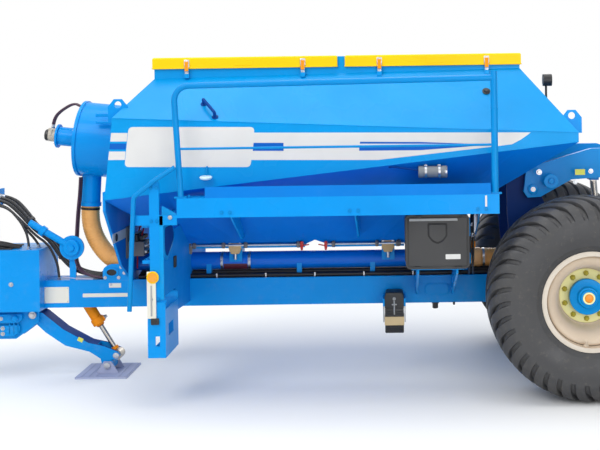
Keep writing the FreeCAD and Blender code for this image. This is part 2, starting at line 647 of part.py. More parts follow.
def make_left_tyre():
    """Flotation tyre: curved lugs that run out on its walls, in two halves half a pitch apart."""
    crown_inside = value("tyre_radius - lug_height - crown_carcass - tyre_wall")
    middle = tyre_row(-1, 0, [(0, crown_inside)], LUG_SWEEP["end"], 2)
    rows = tyre_side(-1) + [middle] + tyre_side(1)[::-1]
    faces = []
    for near, far in zip(rows, rows[1:] + rows[:1]):
        faces += stitched(near, far)
    tyre = shaped("left_tyre", closed(faces))
    tyre.Placement.Base = point("axle_x", "-wheel_y", "axle_z")
    return node(tyre)


def make_left_wheel():
    """Tyre, one-piece rim with its disc, and the hub with its studs."""
    make_left_tyre()
    seat = "bead_radius - paint_gap"
    disc = "wheel_y - disc_y"
    rim = turned("left_rim_ring",
                 [("-rim_half", "rim_flange"), ("-rim_half", f"{seat} - rim_wall"),
                  ("-rim_half + 70", f"{seat} - rim_wall - 6"), ("-rim_half + 110", "rim_well - rim_wall"),
                  ("rim_half - 110", "rim_well - rim_wall"), ("rim_half - 70", f"{seat} - rim_wall - 6"),
                  ("rim_half", f"{seat} - rim_wall"), ("rim_half", "rim_flange"),
                  ("rim_half - rim_wall", "rim_flange"), ("rim_half - rim_wall", seat),
                  ("rim_half - 65", seat), ("rim_half - 105", "rim_well"), ("-rim_half + 105", "rim_well"),
                  ("-rim_half + 65", seat), ("-rim_half + rim_wall", seat),
                  ("-rim_half + rim_wall", "rim_flange")], "axle_x", "-wheel_y", "axle_z")
    dish = turned("left_rim_dish",
                  [(disc, "hub_radius + paint_gap"), (f"{disc} + disc_thick", "hub_radius + paint_gap"),
                   (f"{disc} + disc_thick", "drum_radius + 24"),
                   (f"{disc} - 34 + disc_thick", "rim_well - 4"),
                   (f"{disc} - 34", "rim_well - 4"), (disc, "drum_radius + 20")],
                  "axle_x", "-wheel_y", "axle_z")
    stud_places = [(f"axle_x + stud_circle * cos({turn} deg)", f"axle_z + stud_circle * sin({turn} deg)")
                   for turn in range(18, 360, 36)]
    stud_holes = [rod(f"stud_hole_{index}", "y", "-disc_y - 1", "-disc_y + disc_thick + 1", place,
                      "stud_radius + paint_gap") for index, place in enumerate(stud_places)]
    node(cut("left_rim", fuse("left_rim_whole", rim, dish), *stud_holes))
    hub = turned("left_hub_core",
                 [("disc_y - hub_nose", "0"), ("disc_y - hub_nose", "42"), ("disc_y - hub_nose + 22", "58"),
                  ("disc_y - hub_nose + 40", "104"), ("-12", "hub_radius"), ("disc_thick", "hub_radius"),
                  ("disc_thick + paint_gap", "drum_radius"), ("disc_thick + 150", "drum_radius"),
                  ("disc_thick + 150", "spindle_radius + 0.08"), ("hub_floor", "spindle_radius + 0.08"),
                  ("hub_floor", "0")], "axle_x", "-disc_y", "axle_z")
    studs = [rod(f"stud_{index}", "y", "-disc_y - paint_gap", "-disc_y + disc_thick + 40", place,
                 "stud_radius") for index, place in enumerate(stud_places)]
    nuts = [rod(f"nut_{index}", "y", "-disc_y - nut_length", "-disc_y - paint_gap", place, "nut_radius")
            for index, place in enumerate(stud_places)]
    node(fuse("left_hub", hub, *studs, *nuts))


def make_wheels():
    make_left_wheel()
    for name in ("tyre", "rim", "hub"):
        source = next(item for item in NODES if item.Label == "left_" + name)
        node(mirrored("right_" + name, source))


# ---- Hopper ------------------------------------------------------------------------------------

def make_hopper_walls():
    """Two side walls and two end walls, mitred together, with the ridge between the outlets."""
    ridge = prism([("ridge_front_x", "outlet_z"), ("ridge_x", "ridge_z"), ("ridge_rear_x", "outlet_z"),
                   ("ridge_rear_x", "outlet_z - 10"), ("ridge_front_x", "outlet_z - 10")],
                  "-belt_half", "belt_half")
    for label, first, second in (("left_hopper_side", (0, -1), (1, -1)),
                                 ("right_hopper_side", (0, 1), (1, 1))):
        node(shaped(label, hopper_panel(OUTER, INNER, first, second, RAIL_STEPS).cut(ridge)))
    node(shaped("hopper_front_wall", hopper_panel(OUTER, INNER, (0, -1), (0, 1), 1)))
    node(shaped("hopper_rear_wall", hopper_panel(OUTER, INNER, (1, -1), (1, 1), 1)))
    saddle = prism([("ridge_front_x", "outlet_z"), ("ridge_x", "ridge_z"), ("ridge_rear_x", "outlet_z"),
                    ("ridge_rear_x + 3 * wall", "outlet_z"), ("ridge_x", "ridge_z + 2 * wall"),
                    ("ridge_front_x - 3 * wall", "outlet_z")], "-belt_half", "belt_half")
    slab = prism([("ridge_x - wall / 2", "ridge_z + wall"), ("ridge_x + wall / 2", "ridge_z + wall"),
                  ("ridge_x + wall / 2", "partition_top"), ("ridge_x - wall / 2", "partition_top")],
                 "-belt_half", "belt_half")
    node(shaped("hopper_partition", slab.fuse(saddle).common(HOPPER_HOLLOW).removeSplitter()))


def make_collar():
    """Upright rim round the filling opening, with a bar across between the lids."""
    skin = box("collar_skin", ("collar_front_x", "collar_rear_x"), ("-collar_half", "collar_half"),
               ("collar_front_z - 100", COLLAR_TOP))
    hollow = box("collar_hollow", ("collar_front_x + wall", "collar_rear_x - wall"),
                 ("wall - collar_half", "collar_half - wall"), ("collar_front_z - 101", f"{COLLAR_TOP} + 1"))
    below = plate("collar_slope", "XZ",
                  [("collar_front_x", "collar_front_z"), ("collar_rear_x", "collar_rear_z"),
                   ("collar_rear_x", "collar_front_z - 200"), ("collar_front_x", "collar_front_z - 200")],
                  "-belt_half", "belt_half")
    bar = box("collar_bar", ("lid_gap_front_x + 6", "lid_gap_rear_x - 6"),
              ("-collar_half", "collar_half"), (f"{COLLAR_TOP} - 40", COLLAR_TOP))
    fittings = []
    for front, rear in LID_SPANS.values():
        for place in (f"{front} + hinge_inset", f"{rear} - hinge_inset"):
            for low, high in ((f"{place} - knuckle_half - 10", f"{place} - knuckle_half - 2"),
                              (f"{place} + knuckle_half + 2", f"{place} + knuckle_half + 10")):
                fittings.append(plate(f"hinge_ear_{len(fittings)}", "YZ",
                                      [("collar_half - 4", f"{LID_LOW} - 44"),
                                       ("collar_half - 4", f"{LID_LOW} - 9"),
                                       ("lid_hinge_y - 20", f"{LID_LOW} - 9"),
                                       ("lid_hinge_y - 13", f"{LID_HINGE_Z} + 6"),
                                       ("lid_hinge_y + 12", f"{LID_HINGE_Z} + 6"),
                                       ("lid_hinge_y + 16", f"{LID_LOW} - 26")], low, high))
            fittings.append(rod(f"hinge_pin_{len(fittings)}", "x", f"{place} - knuckle_half - 10",
                                f"{place} + knuckle_half + 10", ("lid_hinge_y", LID_HINGE_Z),
                                "hinge_pin_radius"))
        for place in (f"{front} + latch_inset", f"{rear} - latch_inset"):
            fittings.append(box(f"latch_keeper_{len(fittings)}",
                                (f"{place} - latch_half + 4", f"{place} + latch_half - 4"),
                                ("-lid_half - latch_deep + 2", "4 - collar_half"),
                                (f"{LATCH_LOW} - 34", f"{LATCH_LOW} - paint_gap")))
    rim = cut("collar_rim", fuse("collar_whole", cut("collar_ring", skin, hollow), bar), below)
    trimmed = cut("collar_fittings", fuse("collar_fitting_set", *fittings), HOPPER_ROOM)
    node(fuse("hopper_collar", rim, trimmed))


LID_SPANS = {"front_lid": ("lid_front_x", "lid_gap_front_x"), "rear_lid": ("lid_gap_rear_x", "lid_rear_x")}


def make_lid(name, front, rear, inner_end):
    """Shallow tray turned over the collar, hinged along the right side."""
    skin = box(name + "_skin", (front, rear), ("-lid_half", "lid_half"), (LID_LOW, LID_TOP))
    hollow = box(name + "_hollow", (f"{front} + lid_skin", f"{rear} - lid_skin"),
                 ("lid_skin - lid_half", "lid_half - lid_skin"), (f"{LID_LOW} - 1", f"{LID_TOP} - lid_skin"))
    crowned = doc.addObject("Part::Fillet", name + "_crowned")
    crowned.Base = skin
    crowned.Edges = [(index, 14, 14) for index in (2, 4, 6, 8, 10, 12)]
    passage = box(name + "_passage", (f"{inner_end} - 2 * lid_skin", f"{inner_end} + 2 * lid_skin"),
                  ("-collar_half - 2", "lid_half - lid_skin"), (f"{LID_LOW} - 1", f"{LID_TOP} - lid_skin"))
    hinge_places = (f"{front} + hinge_inset", f"{rear} - hinge_inset")
    knuckles = [rod(f"{name}_knuckle_{index}", "x", f"{place} - knuckle_half", f"{place} + knuckle_half",
                    ("lid_hinge_y", LID_HINGE_Z), "hinge_radius")
                for index, place in enumerate(hinge_places)]
    leaves = [box(f"{name}_leaf_{index}", (f"{place} - knuckle_half", f"{place} + knuckle_half"),
                  ("lid_half", "lid_hinge_y"), (f"{LID_HINGE_Z} + 4", f"{LID_HINGE_Z} + 10"))
              for index, place in enumerate(hinge_places)]
    bore = rod(name + "_hinge_bore", "x", front, rear, ("lid_hinge_y", LID_HINGE_Z),
               "hinge_pin_radius + 0.08")
    tray = cut(name + "_tray", crowned, hollow, passage)
    node(cut(name, fuse(name + "_whole", tray, *knuckles, *leaves), bore))
    latches = [box(f"{name}_latch_{index}", (f"{place} - latch_half", f"{place} + latch_half"),
                   ("-lid_half - latch_deep", "-lid_half"), (LATCH_LOW, f"{LID_TOP} - 18"))
               for index, place in enumerate((f"{front} + latch_inset", f"{rear} - latch_inset"))]
    node(fuse(name + "_latches", *latches))


def make_lids():
    for name, inner_end in (("front_lid", "lid_gap_front_x"), ("rear_lid", "lid_gap_rear_x")):
        make_lid(name, *LID_SPANS[name], inner_end)


def make_cross_frames():
    """Transverse plates that carry the hopper on the beam."""
    pipe_hole = rod("frame_pipe_hole", "x", "bulkhead_front_x - 10", "0", ("0", "pipe_z"),
                    "pipe_radius + paint_gap")
    bulkhead = plate("bulkhead_plate", "YZ",
                     [("-belt_half + 8", "belt_low_front_z + 60"),
                      ("-belt_half + 8", "belt_low_front_z - 80"),
                      ("-810", "1236"), ("-530", "954"), ("-beam_half - 60", "beam_top"),
                      ("beam_half + 60", "beam_top"), ("530", "954"), ("810", "1236"),
                      ("belt_half - 8", "belt_low_front_z - 80"),
                      ("belt_half - 8", "belt_low_front_z + 60")],
                     "bulkhead_front_x", "bulkhead_rear_x")
    node(cut("front_bulkhead", bulkhead, HOPPER_ROOM, pipe_hole))
    frame = plate("crossframe_plate", "YZ",
                  [("-1150", "1255"), ("-1150", "stile_low + 14"), ("-725", "stile_low + 14"),
                   ("-690", "625"), ("-beam_half", "beam_low + 40"), ("-beam_half", "beam_top"),
                   ("beam_half", "beam_top"), ("beam_half", "beam_low + 40"), ("600", "800"),
                   ("700", "1255")], "stile_rear_x", "stile_rear_x + crossframe_thick")
    tray_room = box("tray_room", ("outlet_front_x - 2", "0"), ("-outlet_half - 30", "outlet_half + 2"),
                    ("outlet_z - 32", "outlet_z + 8"))
    node(cut("front_crossframe", frame, HOPPER_ROOM, pipe_hole, tray_room))
    outline = [("tower_front_x", "tower_low"), ("tower_rear_x - 40", "tower_low"),
               ("tower_rear_x - 40", "1300"), ("arm_pivot_x + 75", "arm_pivot_z - 60"),
               ("arm_pivot_x + 75", "arm_pivot_z + 400"), ("tower_front_x - 60", "arm_pivot_z + 400"),
               ("tower_front_x - 60", "1300")]
    for side, low, high, box_low, box_high in (
            ("left", "-tower_y - tower_thick", "-tower_y", "-tower_y", "-beam_half"),
            ("right", "tower_y", "tower_y + tower_thick", "beam_half", "tower_y")):
        pivot = rod(side + "_arm_pin", "y", *(("-arm_inner - arm_thick - 14", "-tower_y") if side == "left"
                                              else ("tower_y", "arm_inner + arm_thick + 14")),
                    ("arm_pivot_x", "arm_pivot_z"), "lift_pin_radius")
        node(cut(side + "_tower",
                 fuse(side + "_tower_solid", plate(side + "_tower_plate", "XZ", outline, low, high),
                      box(side + "_outrigger", ("tower_front_x + 60", "tower_rear_x - 60"),
                          (box_low, box_high), ("tower_low", "beam_top")), pivot), HOPPER_ROOM))


# ---- Walkway, rails and ladder -----------------------------------------------------------------

def make_platform():
    deck = box("deck", ("deck_front_x", "deck_rear_x"), ("deck_near", "deck_far"),
               ("deck_top - plate", "deck_top"))
    fascia = box("fascia", ("deck_front_x", "deck_rear_x"), ("deck_near", "deck_near + plate"),
                 ("fascia_low", "deck_top"))
    inner = box("deck_inner_flange", ("deck_front_x", "deck_rear_x"), ("deck_far - plate", "deck_far"),
                ("fascia_low + 60", "deck_top"))
    ends = [box(f"deck_end_{index}", span, ("deck_near", "deck_far"), ("fascia_low + 60", "deck_top"))
            for index, span in enumerate((("deck_front_x", "deck_front_x + plate"),
                                          ("deck_rear_x - plate", "deck_rear_x")))]
    toe = box("toe_board", ("toe_front_x", "toe_rear_x"), ("deck_near", "deck_near + plate"),
              ("deck_top", "toe_top"))
    node(fuse("work_platform", deck, fascia, inner, *ends, toe))
    outline = [("deck_near + plate + 20", "deck_top - plate"), ("deck_near + plate + 20", "deck_top - 80"),
               ("-420", "1130"), ("-250", "1130"), ("-250", "deck_top - plate")]
    hanger_x = ["-300", "620", "1540"]
    hangers = [plate(f"hanger_{index}", "YZ", outline, f"{x} - 6", f"{x} + 6")
               for index, x in enumerate(hanger_x)]
    node(cut("platform_hangers", fuse("hanger_set", *hangers), HOPPER_ROOM, inner))


def make_handrail():
    """Bent top rail with a raked front post, a straight rear post and a thin middle rail."""
    y = value("rail_y")
    foot = point("rail_front_x + 22", "rail_y", "deck_top + 6")
    front_top = point("rail_front_x - 22", "rail_y", "rail_top_z - 12")
    rear_top = point("rail_rear_x", "rail_y", "rail_top_z + 18")
    radius = value("rail_radius")
    top_rail = swept([foot, front_top, rear_top], radius, [value("rail_bend")])
    rear_post = Part.makeCylinder(radius + 3, value("rear_post_top - deck_top"),
                                  Vector(rear_top.x, y, value("deck_top")))
    middle = Part.makeCylinder(value("mid_rail_radius"), value("rail_rear_x - rail_front_x"),
                               Vector(foot.x - 22, y, value("mid_rail_z")), Vector(1, 0, 0))
    feet = [Part.makeBox(90, 48, 12, Vector(x - 45, y - 24, value("deck_top")))
            for x in (foot.x, rear_top.x)]
    node(shaped("handrail", top_rail.fuse([rear_post, middle] + feet).removeSplitter()))


def make_ladder():
    """Fixed upper ladder: two stiles, steps, lugs for the folding part and a side plate."""
    pieces = []
    for side, low, high, top in (("near", "ladder_near", "ladder_near + stile_depth", "stile_top"),
                                 ("far", "ladder_far - stile_depth", "ladder_far", "deck_top - 170")):
        pieces.append(box(side + "_stile", ("stile_front_x", "stile_rear_x"), (low, high),
                          ("stile_low", top)))
    for index, height in enumerate(("stile_low + 260", "stile_low + 520")):
        pieces.append(box(f"upper_step_{index}", ("stile_front_x - 60", "stile_rear_x"),
                          ("ladder_near + stile_depth", "ladder_far - stile_depth"),
                          (height, f"{height} + 25")))
    pieces.append(box("side_plate", ("-966", "deck_front_x"), ("ladder_near", "ladder_near + plate"),
                      ("1330", "1402")))
    for side, low, high in (("near", "ladder_near + 9", "ladder_near + 21"),
                            ("far", "ladder_far - 21", "ladder_far - 9")):
        pieces.append(box(side + "_lug", ("stile_front_x", "fold_rear_x + 4"), (low, high),
                          ("fold_pivot_z - 22", "stile_low")))
    pieces.append(rod("near_fold_pin", "y", "ladder_near - 4", "ladder_near + 21",
                      ("fold_pivot_x", "fold_pivot_z"), "fold_pin_radius"))
    pieces.append(rod("far_fold_pin", "y", "ladder_far - 21", "ladder_far + 4",
                      ("fold_pivot_x", "fold_pivot_z"), "fold_pin_radius"))
    node(fuse("ladder_frame", *pieces))


def make_folding_ladder():
    """Lower ladder: two stile plates, a slotted back plate and two steps."""
    stiles = [box(side + "_fold_stile", ("fold_front_x", "fold_rear_x"), span, ("fold_low", "fold_top"))
              for side, span in (("near", ("ladder_near", "ladder_near + 8")),
                                 ("far", ("ladder_far - 8", "ladder_far")))]
    back = box("fold_back", ("fold_rear_x - 8", "fold_rear_x"), ("ladder_near", "ladder_far"),
               ("fold_low", "fold_pivot_z - 40"))
    steps = [box(f"fold_step_{index}", ("fold_front_x", "fold_rear_x"), ("ladder_near", "ladder_far"),
                 (height, f"{height} + 25"))
             for index, height in enumerate(("fold_low + 8", "fold_low + 270"))]
    slots = [box("near_stile_slot", ("-817", "-785"), ("ladder_near - 1", "ladder_near + 9"),
                 ("460", "532")),
             box("back_slot", ("fold_rear_x - 9", "fold_rear_x + 1"), ("-1098", "-920"), ("517", "605")),
             rod("fold_bore", "y", "ladder_near - 1", "ladder_far + 1", ("fold_pivot_x", "fold_pivot_z"),
                 "fold_pin_radius + 0.08")]
    node(cut("folding_ladder", fuse("fold_solid", *stiles, back, *steps), *slots))


def make_grab_rail():
    y = value("ladder_near - grab_radius - paint_gap")
    points = [Vector(-985, y + 60, 706), Vector(-997, y, 718), Vector(-957, y, 1536), Vector(-804, y, 1655),
              Vector(value("rail_front_x") - 10, y, 1745)]
    node(shaped("grab_rail", swept(points[1:], value("grab_radius"), [60, 120])))


# ---- Air system --------------------------------------------------------------------------------

LEAN = "atan((belt_top_front_x - belt_low_front_x) / (belt_top_front_z - belt_low_front_z))"


def fan_rod(label, start, end, radius):
    """A cylinder on the fan's axis, measured out from the hopper's front wall."""
    wall_x = ("(belt_low_front_x + (belt_top_front_x - belt_low_front_x)"
              " * (fan_z - belt_low_front_z) / (belt_top_front_z - belt_low_front_z))")
    solid = doc.addObject("Part::Cylinder", label)
    solid.Placement = Placement(Vector(), Rotation(Vector(0, -1, 0), 84))
    solid.setExpression("Placement.Rotation.Angle", formula(f"90 deg - {LEAN}"))
    solid.setExpression("Placement.Base.x", formula(f"{wall_x} - ({start}) * cos({LEAN})"))
    solid.setExpression("Placement.Base.z", formula(f"fan_z + ({start}) * sin({LEAN})"))
    solid.setExpression("Radius", formula(radius))
    solid.setExpression("Height", formula(f"({end}) - ({start})"))
    return solid


DUCT_UP = (0.055, 0, 0.998)


def make_fan():
    drum = fan_rod("fan_drum", "0", "fan_length", "fan_radius")
    hollow = fan_rod("fan_hollow", "fan_skin", "fan_length - fan_skin", "fan_radius - fan_skin")
    rim = fan_rod("fan_rim", "fan_length - 24", "fan_length", "fan_radius + 10")
    neck = fan_rod("fan_neck", "fan_length", "fan_length + neck_length", "motor_neck")
    duct = doc.addObject("Part::Cylinder", "fan_duct")
    duct.Placement = Placement(Vector(), Rotation(Vector(0, 0, 1), Vector(*DUCT_UP)))
    collar = doc.addObject("Part::Cylinder", "fan_duct_ring")
    collar.Placement = duct.Placement
    for pipe, radius, length in ((duct, "duct_half", "duct_length"), (collar, "duct_half + 8", "30")):
        pipe.setExpression("Radius", formula(radius))
        pipe.setExpression("Height", formula(length))
        pipe.setExpression("Placement.Base.x", formula("duct_x"))
        pipe.setExpression("Placement.Base.z", formula("duct_z"))
    node(cut("fan_housing", fuse("fan_whole", drum, rim, neck, duct, collar), hollow))
    node(fan_rod("fan_motor", "fan_length + neck_length", "fan_length + neck_length + motor_length",
                 "motor_radius"))


def make_pipe():
    outer = rod("pipe_outer", "x", "pipe_front_x", "pipe_rear_x", ("0", "pipe_z"), "pipe_radius")
    bore = rod("pipe_bore", "x", "pipe_front_x - 1", "pipe_rear_x + 1", ("0", "pipe_z"),
               "pipe_radius - pipe_wall")
    node(cut("air_pipe", outer, bore))
    saddles = [box(f"saddle_{index}", (f"{x} - 20", f"{x} + 20"), ("-70", "70"), ("beam_top", "pipe_z"))
               for index, x in enumerate(("-620", "120", "720", "1480"))]
    hole = rod("saddle_hole", "x", "pipe_front_x", "pipe_rear_x", ("0", "pipe_z"),
               "pipe_radius + paint_gap")
    flange = box("air_outlet_plate", ("air_outlet_x", "air_outlet_x + 14"), ("-105", "105"),
                 ("beam_top", "pipe_z + 110"))
    node(fuse("pipe_supports", cut("saddle_set", fuse("saddle_blocks", *saddles), hole), flange))
    for name, front, rear, x in (("front", "outlet_front_x", "ridge_front_x", "drop_front_x"),
                                 ("rear", "ridge_rear_x", "outlet_rear_x", "drop_rear_x")):
        make_metering_unit(name, front, rear, x, hole)


def make_metering_unit(name, front, rear, x, pipe_room):
    """Tray that closes one outlet, its shutter shaft and the drop box down to the pipe."""
    tray = box(name + "_tray", (front, rear), ("-outlet_half", "outlet_half"), ("outlet_z - 10", "outlet_z"))
    shaft = rod(name + "_shaft", "x", f"{front} + 8", f"{rear} - 8", ("-outlet_half - 12", "outlet_z - 15"),
                "11")
    bearings = [box(f"{name}_bearing_{index}", (f"{place} - 12", f"{place} + 12"),
                    ("-outlet_half - 25", "-outlet_half + 5"), ("outlet_z - 28", "outlet_z - 4"))
                for index, place in enumerate((f"{front} + 60", x, f"{rear} - 60"))]
    drop = box(name + "_drop", (f"{x} - drop_half", f"{x} + drop_half"), ("-80", "80"),
               ("pipe_z", "outlet_z - 10"))
    throat = rod(name + "_throat", "z", "pipe_z - 5", "outlet_z + 1", (x, "0"), "28")
    node(cut(name + "_metering_unit", fuse(name + "_meter_solid", tray, shaft, *bearings, drop),
             pipe_room, throat))


def make_air_hoses():
    """Wide hose that swings down from the fan's duct into the pipe, and the rear hose."""
    start = point("duct_x", "0", "duct_z - paint_gap")
    end = point("pipe_front_x - paint_gap", "0", "pipe_z")
    route = [start, start - Vector(*DUCT_UP) * 110, Vector(-1572, 0, 1120), Vector(-1488, 0, 985),
             end - Vector(85, 0, 0), end]
    node(shaped("air_hose", swept(route, value("hose_radius"), hose=True)))
    node(rod("rear_air_hose", "x", "pipe_rear_x + paint_gap", "air_outlet_x - paint_gap", ("0", "pipe_z"),
             "hose_radius"))


# ---- Toolbox and chock -------------------------------------------------------------------------

def make_toolbox():
    skin = box("toolbox_skin", ("toolbox_front_x", "toolbox_rear_x"),
               ("toolbox_near + door_thick + paint_gap", "toolbox_far"), ("toolbox_low", "toolbox_top"))
    hollow = box("toolbox_hollow", ("toolbox_front_x + toolbox_wall", "toolbox_rear_x - toolbox_wall"),
                 ("toolbox_near", "toolbox_far - toolbox_wall"),
                 ("toolbox_low + toolbox_wall", "toolbox_top - toolbox_wall"))
    node(cut("toolbox", skin, hollow))
    node(box("toolbox_door", ("toolbox_front_x", "toolbox_rear_x"),
             ("toolbox_near", "toolbox_near + door_thick"), ("toolbox_low + 3", "toolbox_top")))
    shelf = box("toolbox_shelf", ("toolbox_front_x + 40", "toolbox_rear_x - 40"),
                ("toolbox_near + 60", "toolbox_far + 40"), ("toolbox_low - 12", "toolbox_low"))
    arms = [plate(f"toolbox_arm_{index}", "YZ",
                  [("toolbox_near + 60", "toolbox_low - 12"), ("toolbox_near + 60", "toolbox_low - 40"),
                   ("-beam_half", "beam_top - 150"), ("-beam_half", "beam_top - 20"),
                   ("toolbox_far + 40", "toolbox_low - 12")], f"{x} - 8", f"{x} + 8")
            for index, x in enumerate(("toolbox_front_x + 90", "toolbox_rear_x - 90"))]
    node(fuse("toolbox_bracket", shelf, *arms))


def make_chock():
    near = "-beam_half - 200"
    far = "-beam_half - 20"
    node(box("wheel_chock", ("chock_front_x", "chock_rear_x"), (near, far), ("chock_low", "chock_top")))
    node(fuse("chock_bracket",
              box("chock_back", ("chock_front_x - 14", "chock_rear_x + 14"),
                  ("-beam_half - 19.7", "-beam_half"), ("beam_low + 10", "chock_top - 40")),
              box("chock_front_ear", ("chock_front_x - 14", "chock_front_x - 0.3"), (near, "-beam_half"),
                  ("beam_low + 10", "beam_low + 70")),
              box("chock_rear_ear", ("chock_rear_x + 0.3", "chock_rear_x + 14"), (near, "-beam_half"),
                  ("beam_low + 10", "beam_low + 70"))))


# ---- Rear lift ---------------------------------------------------------------------------------

def make_lift_arms():
    """Two cranked arms tied by a cross tube, with the coupling bar at their rear end."""
    outline = [("arm_pivot_x - 70", "arm_pivot_z - 20"), ("arm_pivot_x - 40", "arm_pivot_z - 66"),
               ("arm_pivot_x + 60", "arm_pivot_z - 60"), ("arm_pivot_x + 300", "arm_pivot_z + 70"),
               ("eye_x + 60", "eye_z + 30"), (ARM_TIP, "coupler_z - 60"),
               (f"{ARM_TIP} + coupler_radius - 5", "coupler_z"), (ARM_TIP, "coupler_z + 70"),
               ("eye_x + 120", "eye_z + 250"), ("eye_x - 100", "eye_z + 250"),
               ("arm_pivot_x + 60", "arm_pivot_z + 195"), ("arm_pivot_x - 50", "arm_pivot_z + 140")]
    arms = [plate(side + "_arm", "XZ", outline, low, high)
            for side, low, high in (("left", "-arm_inner - arm_thick", "-arm_inner"),
                                    ("right", "arm_inner", "arm_inner + arm_thick"))]
    cross = rod("cross_tube", "y", "-arm_inner", "arm_inner", ("eye_x", "eye_z + 110"), "57")
    ears = [plate(f"{side}_eye_ear", "XZ",
                  [("eye_x - 50", "eye_z + 100"), ("eye_x - 38", "eye_z - 30"), ("eye_x + 38", "eye_z - 30"),
                   ("eye_x + 50", "eye_z + 100")], low, high)
            for side, low, high in (("left", "-62", "-42"), ("right", "42", "62"))]
    pin = rod("eye_pin", "y", "-70", "70", ("eye_x", "eye_z"), "eye_pin_radius")
    bar = rod("coupler_bar", "y", "-arm_inner - 1", "arm_inner + 1", (ARM_TIP, "coupler_z"),
              "coupler_radius")
    link_pins = rod("coupler_pins", "y", "-arm_inner - arm_thick - coupler_pin_length",
                    "arm_inner + arm_thick + coupler_pin_length", (ARM_TIP, "coupler_z"),
                    "coupler_pin_radius")
    bore = rod("arm_bore", "y", "-arm_inner - arm_thick - 1", "arm_inner + arm_thick + 1",
               ("arm_pivot_x", "arm_pivot_z"), "lift_pin_radius + 0.08")
    node(cut("lift_arms", fuse("lift_solid", *arms, cross, *ears, pin, bar, link_pins), bore))


# ---- Hose carrier and small fittings -----------------------------------------------------------

def make_hose_carrier():
    """Rack of parked couplings over the head block, and the strut that guides the hoses."""
    post = box("carrier_post", ("carrier_x - 25", "carrier_x + 25"), ("carrier_y + 11", "carrier_y + 35"),
               ("beam_top", "carrier_z"))
    disc = rod("carrier_disc", "y", "carrier_y - 11", "carrier_y + 11", ("carrier_x", "carrier_z"), "98")
    start = point("carrier_x", "carrier_y", "carrier_z")
    strut = shaped("carrier_strut", Part.makeCylinder(28, 400, start, Vector(-333, 0, 203)))
    rack_post = box("rack_post", ("rack_x - 12", "rack_x + 12"), ("-40", "40"), ("head_top", "rack_z"))
    rack_plate = box("rack_plate", ("rack_x - 12", "rack_x + 12"), ("-170", "170"),
                     ("rack_z - 60", "rack_z + 75"))
    node(fuse("hose_carrier", post, disc, strut, rack_post, rack_plate))


def make_hydraulic_hoses():
    """Hoses from the parked couplings over the head block and down along the beam."""
    hoses = []
    radius = value("line_radius")
    for index in range(5):
        y = value("line_pitch") * (index - 2)
        lift = 14 * (index % 2)
        start = point("rack_x + 12 + paint_gap", "0", "rack_z") + Vector(0, 2 * y, lift)
        end = point("bulkhead_front_x - paint_gap", "0", "line_z") + Vector(0, y, lift / 4)
        route = [start, start + Vector(90, 0, 0), Vector(-2170, 1.7 * y, 1345 + lift),
                 Vector(-2050, 1.2 * y, 1190 + lift), Vector(-1920, y, 1095 + lift),
                 Vector(-1835, y, 955 + lift), Vector(-1730, y, 850 + lift / 2),
                 Vector(-1580, y, end.z + 3), Vector(-1400, y, end.z), end]
        hoses.append(swept(route, radius, hose=True))
    node(shaped("hydraulic_hoses", Part.makeCompound(hoses)))


def make_hopper_fittings():
    """Lifting eyes on the four corners, the work lamp and the document canister."""
    eyes = []
    for name, x, z in (("front", "front_eye_x", "front_eye_z"), ("rear", "rear_eye_x", "rear_eye_z")):
        outline = [(f"{x} - 75", f"{z} - 130"), (f"{x} - 75", f"{z} - 15"), (f"{x} - 30", f"{z} + 42"),
                   (f"{x} + 30", f"{z} + 42"), (f"{x} + 75", f"{z} - 15"), (f"{x} + 75", f"{z} - 130")]
        for side, low, high in (("left", "-eye_y - eye_thick / 2", "-eye_y + eye_thick / 2"),
                                ("right", "eye_y - eye_thick / 2", "eye_y + eye_thick / 2")):
            blank = plate(f"{name}_{side}_eye", "XZ", outline, low, high)
            hole = rod(f"{name}_{side}_eye_hole", "y", f"{low} - 1", f"{high} + 1", (x, z), "eye_hole")
            eyes.append(cut(f"{name}_{side}_eye_plate", blank, hole))
    node(cut("lifting_eyes", fuse("eye_set", *eyes), HOPPER_ROOM))
    stalk = rod("lamp_stalk", "z", "2050", "lamp_z - lamp_radius + 6", ("lamp_x - 20", "lamp_y"), "9")
    shell = rod("lamp_shell", "x", "lamp_x - 45", "lamp_x + 25", ("lamp_y", "lamp_z"), "lamp_radius")
    node(cut("work_lamp", fuse("lamp_solid", stalk, shell), HOPPER_ROOM))
    tube = rod("canister_tube", "x", "canister_front_x", "canister_rear_x", ("canister_y", "canister_z"),
               "canister_radius")
    straps = [box(f"canister_strap_{index}", (f"{x} - 12", f"{x} + 12"),
                  ("canister_y - 5", "canister_y + 60"), ("canister_z", "canister_z + 75"))
              for index, x in enumerate(("canister_front_x + 45", "canister_rear_x - 45"))]
    node(cut("document_canister", fuse("canister_solid", tube, *straps), HOPPER_ROOM))


def make_side_marker():
    """Pale plate on the ladder's near stile, with its round amber reflector."""
    node(box("marker_plate", ("stile_front_x - 22", "stile_rear_x - 10"), ("ladder_near - 8", "ladder_near"),
             ("stile_low + 4", "1000")))
    node(rod("amber_reflector", "y", "ladder_near - 22", "ladder_near - 8",
             ("stile_front_x + 22", "958"), "44"))


